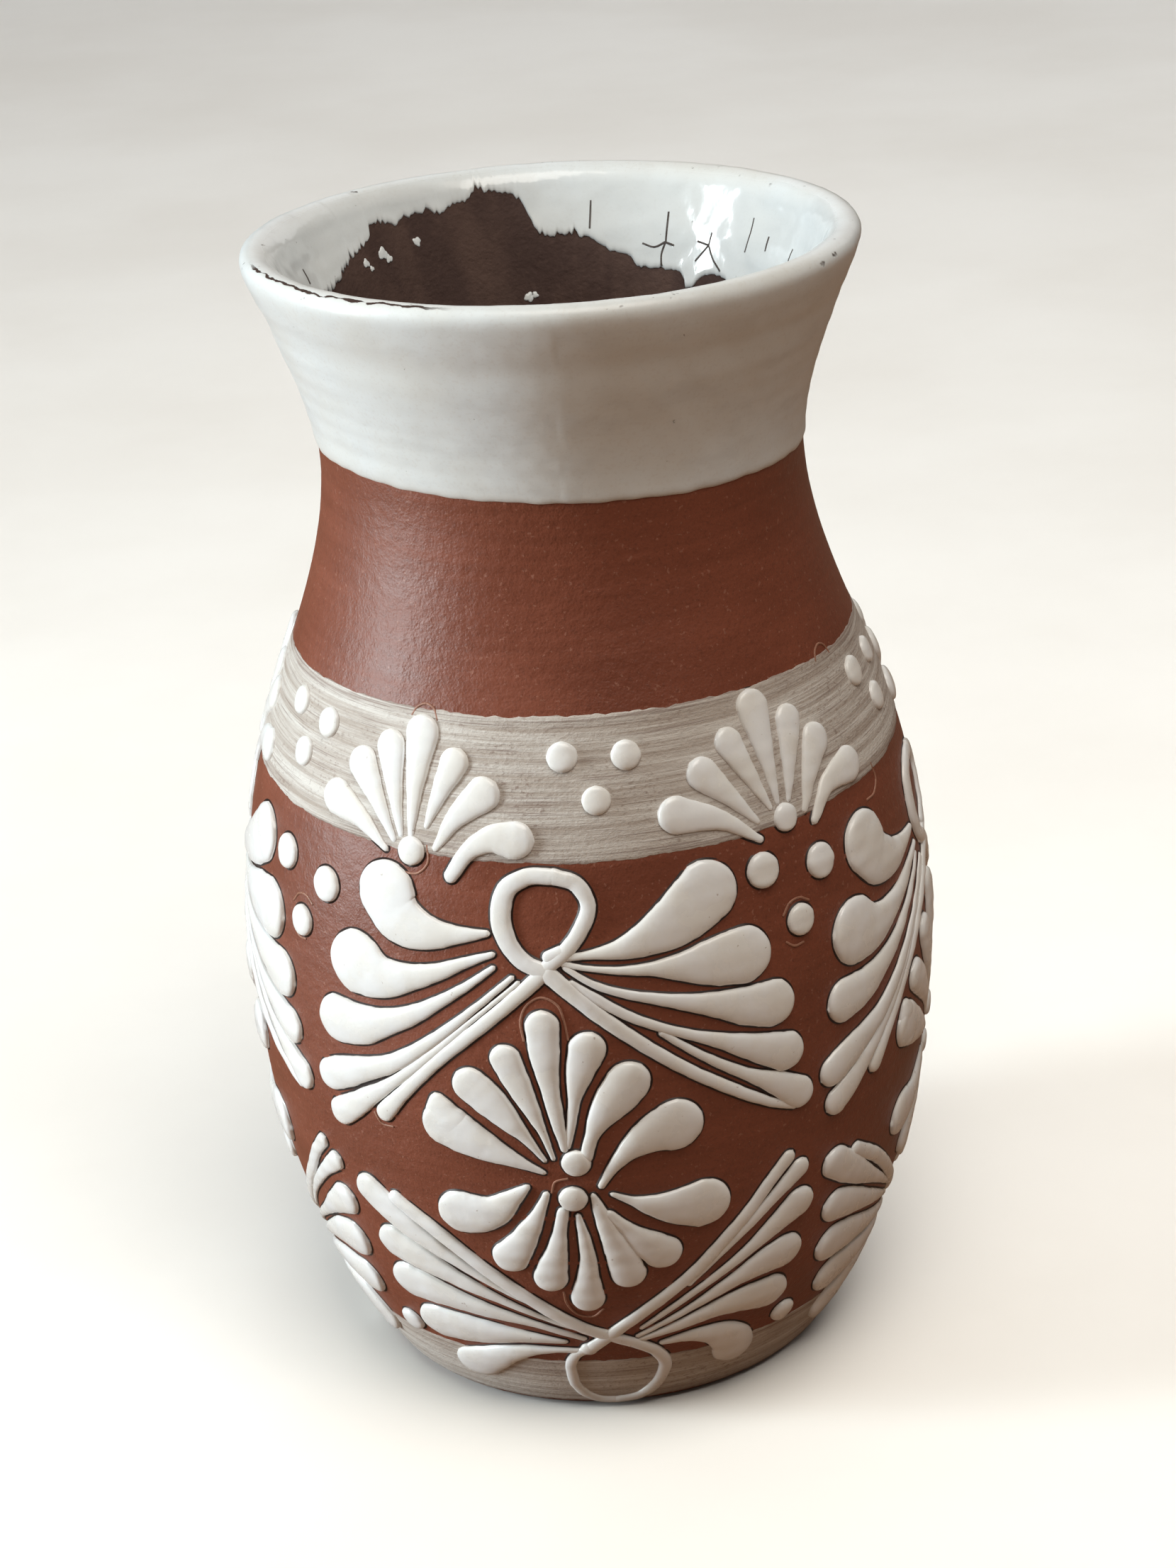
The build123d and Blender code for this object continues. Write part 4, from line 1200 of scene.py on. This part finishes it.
class EffectMaker:
    """Makes the shared effects."""

    def start(self, effect: Effect, inputs: dict[str, float], output: str,
              kind: str = "NodeSocketFloat") -> tuple[Bench, bpy.types.Node, bpy.types.Node]:
        """Open a group with a place input, some values, and one output."""
        tree = bpy.data.node_groups.new(effect.value, "ShaderNodeTree")
        tree.interface.new_socket("Place", in_out="INPUT", socket_type="NodeSocketVector")
        for name, value in inputs.items():
            socket = tree.interface.new_socket(name, in_out="INPUT", socket_type="NodeSocketFloat")
            socket.default_value = value
        tree.interface.new_socket(output, in_out="OUTPUT", socket_type=kind)
        bench = Bench(tree)
        return bench, bench.add("NodeGroupInput"), bench.add("NodeGroupOutput")

    def speckle(self) -> None:
        """Small specks: fine noise above a limit that leaves the wanted cover."""
        bench, source, sink = self.start(Effect.SPECKLE, {"Scale": 900.0, "Limit": 0.62}, "Mask")
        grain = bench.noise(source.outputs["Place"], source.outputs["Scale"], 2.0)
        top = bench.math("ADD", source.outputs["Limit"], 0.07)
        bench.put(bench.spread(grain, source.outputs["Limit"], top), sink.inputs[0])

    def streaks(self) -> None:
        """Brush marks: noise squeezed in height and drawn out round the pot."""
        bench, source, sink = self.start(Effect.STREAKS, {"Fineness": 1.0, "Wander": 1.0}, "Mask")
        node = bench.add("ShaderNodeVectorMath", operation="MULTIPLY")
        bench.put(source.outputs["Place"], node.inputs[0])
        stretch = bench.add("ShaderNodeCombineXYZ")
        flat = bench.times(source.outputs["Wander"], 24.0)
        bench.put(flat, stretch.inputs[0])
        bench.put(flat, stretch.inputs[1])
        bench.put(bench.times(source.outputs["Fineness"], 900.0), stretch.inputs[2])
        bench.put(stretch.outputs[0], node.inputs[1])
        bench.put(bench.noise(node.outputs[0], 1.0, 5.0, 0.62), sink.inputs[0])

    def mottle(self) -> None:
        """Slow change of tone from place to place, spread to the full 0 to 1."""
        bench, source, sink = self.start(Effect.MOTTLE, {"Scale": 40.0}, "Mask")
        cloud = bench.noise(source.outputs["Place"], source.outputs["Scale"], 4.0)
        bench.put(bench.spread(cloud, 0.34, 0.66), sink.inputs[0])

    def skin(self) -> None:
        """Fired surface: a coarse sway and a fine grain raised as one normal."""
        bench, source, sink = self.start(
            Effect.SKIN, {"Scale": 300.0, "Grain": 0.3, "Depth": 0.0002}, "Normal",
            "NodeSocketVector")
        sway = bench.noise(source.outputs["Place"], source.outputs["Scale"], 2.0)
        finer = bench.times(source.outputs["Scale"], 4.7)
        grain = bench.noise(source.outputs["Place"], finer, 3.0)
        height = bench.times_plus(grain, source.outputs["Grain"], sway)
        bench.put(bench.bump(height, 1.0, source.outputs["Depth"]), sink.inputs[0])

    def make_all(self) -> None:
        """Make every effect once."""
        for make in (self.speckle, self.streaks, self.mottle, self.skin):
            make()


# ---- Finishes ------------------------------------------------------------------------------------

@dataclass(frozen=True)
class Finish:
    """A surface finish: its name and the shader's plain values."""

    name: str
    roughness: float = 0.5
    specular: float = 0.5

    def start(self) -> tuple[bpy.types.Material, Bench, bpy.types.Node]:
        """Open a material with one principled shader."""
        material = bpy.data.materials.new(self.name)
        material.use_nodes = True
        bench = Bench(material.node_tree)
        shader = material.node_tree.nodes["Principled BSDF"]
        shader.inputs["Roughness"].default_value = self.roughness
        shader.inputs["Specular IOR Level"].default_value = self.specular
        return material, bench, shader


@dataclass(frozen=True)
class SlipFinish(Finish):
    """Burnished brown slip: satin, with fine grain, faint turning marks and paler rubbed specks."""

    name: str = "burnished brown slip"
    deep: Colour = linear(0.465, 0.25, 0.177)
    warm: Colour = linear(0.53, 0.292, 0.21)
    pale: Colour = linear(0.66, 0.47, 0.40)
    dark: Colour = linear(0.33, 0.17, 0.12)

    def make(self) -> bpy.types.Material:
        """Mix the tones, the specks and the grain."""
        material, bench, shader = self.start()
        place = bench.place()
        cloud = bench.effect(Effect.MOTTLE, place, scale=45.0)
        lines = bench.effect(Effect.STREAKS, place, fineness=0.55, wander=1.0)
        tone = bench.times_plus(lines, 0.75, bench.times(cloud, 0.2))
        base = bench.mix(bench.spread(tone, 0.2, 0.8), self.deep, self.warm)
        specks = bench.effect(Effect.SPECKLE, place, scale=1300.0, limit=0.64)
        colour = bench.mix(bench.times(specks, 0.45), base, self.pale)
        grain = bench.noise(place, 1900.0, 3.0)
        colour = bench.mix(bench.times(bench.spread(grain, 0.5, 0.72), 0.32), colour,
                           self.dark)
        bench.put(colour, shader.inputs["Base Color"])
        rough = bench.times_plus(lines, 0.16, self.roughness - 0.08)
        bench.put(bench.times_plus(cloud, 0.05, rough), shader.inputs["Roughness"])
        bench.grain(shader, place, scale=520.0, grain=0.5, depth=0.00016)
        return material


@dataclass(frozen=True)
class BareInsideFinish(Finish):
    """Unglazed inside: dark and dry, with broad runs down the wall where liquid slip ran off."""

    name: str = "bare inside clay"
    dark: Colour = linear(0.285, 0.215, 0.195)
    dusty: Colour = linear(0.355, 0.275, 0.245)

    def make(self) -> bpy.types.Material:
        """Mix dark and dusty clay by runs and specks."""
        material, bench, shader = self.start()
        place = bench.place()
        drips = bench.noise(bench.place((95.0, 95.0, 11.0)), 1.0, 4.0)
        base = bench.mix(bench.spread(drips, 0.38, 0.68), self.dark, self.dusty)
        specks = bench.effect(Effect.SPECKLE, place, scale=800.0, limit=0.6)
        bench.put(bench.mix(bench.times(specks, 0.3), base, self.dusty),
                  shader.inputs["Base Color"])
        bench.grain(shader, place, scale=260.0, grain=0.6, depth=0.0004)
        return material


@dataclass(frozen=True)
class RawFootFinish(Finish):
    """Raw fired clay under the foot: orange-brown, chalky and scratched by the cutting wire."""

    name: str = "raw clay under the foot"
    clay: Colour = linear(0.60, 0.38, 0.27)
    chalk: Colour = linear(0.74, 0.55, 0.44)

    def make(self) -> bpy.types.Material:
        """Mix clay and chalky patches, with grit."""
        material, bench, shader = self.start()
        place = bench.place()
        cloud = bench.effect(Effect.MOTTLE, place, scale=70.0)
        scratch = bench.noise(bench.place((40.0, 700.0, 100.0)), 1.0, 3.0)
        share = bench.times_plus(bench.spread(scratch, 0.45, 0.65), 0.5,
                           bench.times(cloud, 0.5))
        bench.put(bench.mix(share, self.clay, self.chalk), shader.inputs["Base Color"])
        bench.grain(shader, place, scale=420.0, grain=0.9, depth=0.0003)
        return material


@dataclass(frozen=True)
class GlazeFinish(Finish):
    """Thick white glaze: satin outside, glossy and cooler inside, worn and chipped on the lip."""

    name: str = "thick white glaze"
    white: Colour = linear(0.908, 0.932, 0.94)
    cream: Colour = linear(0.89, 0.90, 0.89)
    thin_tint: Colour = linear(0.72, 0.66, 0.60)
    smudge: Colour = linear(0.80, 0.81, 0.81)
    pooled: Colour = linear(0.925, 0.945, 0.95)
    chip: Colour = linear(0.23, 0.15, 0.12)

    def make(self) -> bpy.types.Material:
        """Mix the whites and smudges, then the worn line, the chips and the pits."""
        material, bench, shader = self.start()
        place = bench.place()
        cloud = bench.effect(Effect.MOTTLE, place, scale=38.0)
        base = bench.mix(cloud, self.white, self.cream)
        base = bench.mix(bench.times(bench.field("thin"), 0.35), base, self.thin_tint)
        smudge = bench.noise(bench.place((1.0, 1.0, 3.2)), 62.0, 5.0, 0.6)
        base = bench.mix(bench.times(bench.spread(smudge, 0.5, 0.72), 0.30), base,
                         self.smudge)
        grain = bench.noise(place, 1700.0, 2.0)
        base = bench.mix(bench.times(bench.spread(grain, 0.52, 0.7), 0.10), base,
                         self.thin_tint)
        base = bench.mix(bench.times(bench.field("inside"), 0.55), base, self.pooled)
        chips = bench.effect(Effect.SPECKLE, place, scale=360.0, limit=0.675)
        chips = bench.times(chips, bench.spread(bench.field("lip"), 0.35, 0.8))
        away = bench.math("ABSOLUTE", bench.field("worn"))
        away = bench.times_plus(bench.noise(place, 380.0, 3.0), -1.1, away)
        rubbed = bench.math("SUBTRACT", 1.0, bench.spread(away, -0.42, -0.30))
        rubbed = bench.times(rubbed, bench.field("window"))
        pits = bench.effect(Effect.SPECKLE, place, scale=700.0, limit=0.745)
        bare = bench.math("MAXIMUM", bench.math("MAXIMUM", chips, rubbed),
                          bench.times(pits, 0.5))
        bench.put(bench.mix(bare, base, self.chip), shader.inputs["Base Color"])
        rough = bench.times_plus(bare, 0.45, self.roughness)
        rough = bench.times_plus(bench.field("inside"), -0.22, rough)
        bench.put(bench.times_plus(cloud, 0.08, rough), shader.inputs["Roughness"])
        depth = bench.times_plus(bench.field("inside"), 0.0006, 0.0003)
        normal = bench.effect(Effect.SKIN, place, scale=85.0, grain=0.06,
                             depth=depth)
        dent = bench.bump(bare, 0.6, 0.0002, normal)
        dent.node.invert = True
        bench.put(dent, shader.inputs["Normal"])
        return material


@dataclass(frozen=True)
class WashFinish(Finish):
    """Thin pale wash: matte, with fine brush lines through which the brown shows."""

    name: str = "brushed pale wash"
    pale: Colour = linear(0.87, 0.855, 0.83)
    grey: Colour = linear(0.70, 0.655, 0.615)
    brown: Colour = linear(0.44, 0.315, 0.26)

    def make(self) -> bpy.types.Material:
        """Mix the tones along the brush lines, and let brown through at thin places."""
        material, bench, shader = self.start()
        place = bench.place()
        broad = bench.effect(Effect.STREAKS, place, fineness=0.9, wander=0.7)
        fine = bench.effect(Effect.STREAKS, place, fineness=3.6, wander=2.2)
        cloud = bench.effect(Effect.MOTTLE, place, scale=60.0)
        tone = bench.times_plus(broad, 0.6, bench.times(fine, 0.4))
        base = bench.mix(bench.spread(tone, 0.38, 0.62), self.grey, self.pale)
        dry = bench.times_plus(bench.field("thin"), 0.10, fine)
        dry = bench.times_plus(cloud, 0.05, dry)
        through = bench.spread(dry, 0.56, 0.70)
        grit = bench.noise(bench.place((1.0, 1.0, 1.7)), 1100.0, 4.0, 0.65)
        grime = bench.times(bench.spread(grit, 0.52, 0.68), bench.spread(cloud, -0.4, 1.3))
        through = bench.math("MAXIMUM", through, grime)
        bench.put(bench.mix(bench.times(through, 0.62), base, self.brown),
                  shader.inputs["Base Color"])
        height = bench.times_plus(grit, 0.8, tone)
        normal = bench.bump(height, 0.7, 0.00035)
        bench.put(normal, shader.inputs["Normal"])
        return material


@dataclass(frozen=True)
class EnamelFinish(Finish):
    """Piped white enamel: glossy and plump, faintly cream, with painted shade on each dome's lowest
    sides and a painted contact shadow on the film round it.
    """

    name: str = "piped white enamel"
    white: Colour = linear(0.965, 0.975, 0.98)
    cream: Colour = linear(0.945, 0.945, 0.93)
    # Painted shade: a brownish darkening of each dome's lowest sides.
    dome_foot_shade: Colour = linear(0.76, 0.69, 0.64)
    # Painted contact shadow: near-black, on the film where the stroke meets the clay.
    painted_contact_shadow: Colour = linear(0.15, 0.08, 0.06)
    speck: Colour = linear(0.60, 0.50, 0.44)

    def make(self) -> bpy.types.Material:
        """Mix the whites, a few specks and the two painted edge shades, with a softly uneven gloss.
        """
        material, bench, shader = self.start()
        place = bench.place()
        cloud = bench.effect(Effect.MOTTLE, place, scale=140.0)
        base = bench.mix(cloud, self.white, self.cream)
        specks = bench.effect(Effect.SPECKLE, place, scale=950.0, limit=0.72)
        base = bench.mix(bench.times(specks, 0.5), base, self.speck)
        thin = bench.field("thin")
        # Painted shade on the dome's lowest sides, where thin runs from 0.3 to 0.9.
        base = bench.mix(bench.times(bench.spread(thin, 0.3, 0.9), 0.5), base, self.dome_foot_shade)
        # Painted contact shadow on the film round each stroke.
        contact_shadow_mask = bench.spread(thin, 0.9, 1.0)
        bench.put(bench.mix(contact_shadow_mask, base, self.painted_contact_shadow), shader.inputs["Base Color"])
        rough = bench.times_plus(cloud, 0.10, self.roughness)
        bench.put(bench.times_plus(contact_shadow_mask, 0.3, rough), shader.inputs["Roughness"])
        bench.grain(shader, place, scale=300.0, grain=0.15, depth=0.00009)
        return material


# ---- Studio --------------------------------------------------------------------------------------

@dataclass(frozen=True)
class Lamp:
    """One soft rectangular light: where it stands, what it looks at, its size, power and tint."""

    name: str
    place: tuple[float, float, float]
    size: tuple[float, float]
    watts: float
    tint: Colour
    target: tuple[float, float, float] = (0.0, 0.0, 0.1)

    def hang(self) -> bpy.types.Object:
        """Make the lamp."""
        data = bpy.data.lights.new(self.name, "AREA")
        data.shape = "RECTANGLE"
        data.size, data.size_y = self.size
        data.energy, data.color = self.watts, self.tint
        item = bpy.data.objects.new(self.name, data)
        item.location = self.place
        away = Vector(self.target) - Vector(self.place)
        item.rotation_euler = away.to_track_quat("-Z", "Y").to_euler()
        bpy.context.scene.collection.objects.link(item)
        return item


@dataclass(frozen=True)
class Studio:
    """A pale floor under soft light: a cool window to the left and dim warm room light.

    What the floor throws back at the pot is the warm tone of a table top, so that the side away
    from the window stays dim and warm however pale the floor looks.
    """

    floor_size: float = 8.0
    floor_tone: Colour = linear(0.90, 0.90, 0.89)
    floor_shade: Colour = linear(0.87, 0.865, 0.85)
    floor_throw: Colour = linear(0.46, 0.36, 0.28)
    room: Colour = (0.62, 0.52, 0.43)
    room_strength: float = 0.16
    room_seen: Colour = linear(0.86, 0.855, 0.84)
    lamps: tuple[Lamp, ...] = (
        Lamp("window", (-1.05, -0.165, 0.34), (0.2, 0.8), 15.5, (0.87, 0.965, 1.0)),
        Lamp("ceiling", (0.18, -0.45, 1.2), (0.8, 0.8), 9.4, (1.0, 0.94, 0.86)),
        Lamp("far wall", (0.4, 1.4, 0.9), (1.6, 1.0), 4.0, (0.97, 0.98, 1.0)),
    )
    floor_lamp: Lamp = Lamp("floor light", (0.0, 1.0, 2.4), (4.0, 4.0), 26.0, (0.97, 0.985, 1.0),
                            (0.0, 0.6, 0.0))

    def floor_material(self) -> bpy.types.Material:
        """Pale and faintly cloudy to the eye, a warm table top to every bounced ray."""
        material, bench, shader = Finish("pale floor", roughness=0.65, specular=0.2).start()
        cloud = bench.noise(bench.place(), 5.0, 5.0)
        seen = bench.mix(bench.spread(cloud, 0.3, 0.7), self.floor_tone, self.floor_shade)
        eye = bench.add("ShaderNodeLightPath").outputs["Is Camera Ray"]
        bench.put(bench.mix(eye, self.floor_throw, seen), shader.inputs["Base Color"])
        return material

    def world(self) -> bpy.types.World:
        """Dim warm room for every ray but the eye's, which sees a pale wall."""
        world = bpy.data.worlds.new("room")
        world.use_nodes = True
        bench = Bench(world.node_tree)
        background = world.node_tree.nodes["Background"]
        lit = tuple(value * self.room_strength for value in self.room)
        eye = bench.add("ShaderNodeLightPath").outputs["Is Camera Ray"]
        bench.put(bench.mix(eye, lit, self.room_seen), background.inputs["Color"])
        return world

    def build(self) -> None:
        """Lay the floor, hang the lamps and tint the room."""
        half = self.floor_size / 2
        mesh = bpy.data.meshes.new("floor")
        mesh.from_pydata([(-half, -half, 0), (half, -half, 0), (half, half, 0), (-half, half, 0)],
                         [], [(0, 1, 2, 3)])
        floor = bpy.data.objects.new("floor", mesh)
        ground = bpy.data.collections.new("ground")
        bpy.context.scene.collection.children.link(ground)
        ground.objects.link(floor)
        mesh.materials.append(self.floor_material())
        for lamp in self.lamps:
            lamp.hang()
        self.floor_lamp.hang().light_linking.receiver_collection = ground
        bpy.context.scene.world = self.world()
        bpy.context.scene.view_settings.view_transform = "Standard"


@dataclass(frozen=True)
class Viewpoint:
    """The camera: its place in metres and its turns in radians."""

    place: tuple[float, float, float] = (0.0, -0.566, 0.347)
    yaw: float = 0.002
    pitch: float = 0.410
    roll: float = -0.0569
    lens: float = 81.37
    sensor: float = 36.0

    def build(self) -> None:
        """Look ahead by yaw, down by pitch, then roll about the line of sight."""
        ahead = Vector((math.sin(self.yaw) * math.cos(self.pitch),
                        math.cos(self.yaw) * math.cos(self.pitch), -math.sin(self.pitch)))
        level = Vector((math.cos(self.yaw), -math.sin(self.yaw), 0.0))
        upright = level.cross(ahead)
        right = math.cos(self.roll) * level + math.sin(self.roll) * upright
        up = -math.sin(self.roll) * level + math.cos(self.roll) * upright
        data = bpy.data.cameras.new("viewpoint")
        data.lens, data.sensor_width = self.lens, self.sensor
        item = bpy.data.objects.new("viewpoint", data)
        turned = Matrix((right, up, -ahead)).transposed().to_4x4()
        item.matrix_world = Matrix.Translation(self.place) @ turned
        bpy.context.scene.collection.objects.link(item)
        bpy.context.scene.camera = item


def main() -> None:
    """Build the pot, its coats and its relief, then the studio around it."""
    logging.basicConfig(level=logging.INFO, format="%(name)s: %(message)s")
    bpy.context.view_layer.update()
    EffectMaker().make_all()
    wall = Wall.from_frame()
    ClayBody(wall).build(
        SlipFinish(roughness=0.42, specular=0.5).make(),
        BareInsideFinish(roughness=0.8, specular=0.25).make(),
        RawFootFinish(roughness=0.9, specular=0.2).make(),
    )
    NeckGlaze(wall).build(GlazeFinish(roughness=0.3, specular=0.5).make())
    wash = WashFinish(roughness=0.62, specular=0.3).make()
    WashBand(wall, "shoulder_band", "shoulder_wash", low=113.0, high=132.5,
             low_tilt=(-0.006, 0.031), high_tilt=(-0.005, -0.019)).build(wash)
    WashBand(wall, "foot_band", "foot_wash", low=1.4, high=13.7,
             low_tilt=(0.0, 0.0), high_tilt=(-0.007, -0.001)).build(wash)
    piping = Piping(wall)
    enamel = EnamelFinish(roughness=0.2, specular=0.55).make()
    for motif in MOTIFS:
        for placing in motif.placings:
            piping.lay(motif, placing, enamel)
    scored = SlipFinish(name="scored slip", roughness=0.4, deep=linear(0.58, 0.40, 0.32),
                        warm=linear(0.66, 0.48, 0.40))
    FineLines("scored_lines", "brown_slip", wall, SCORED, SCORED_TURNS).build(scored.make())
    crack = RawFootFinish(name="crack in the glaze", roughness=0.8, clay=linear(0.27, 0.23, 0.215),
                          chalk=linear(0.42, 0.40, 0.39))
    on_glaze = wall.inner_side(CRACK_LEVEL)
    FineLines("glaze_cracks", "white_glaze", on_glaze, CRACKS).build(crack.make())
    Studio().build()
    Viewpoint().build()


if __name__ == "__main__":
    main()
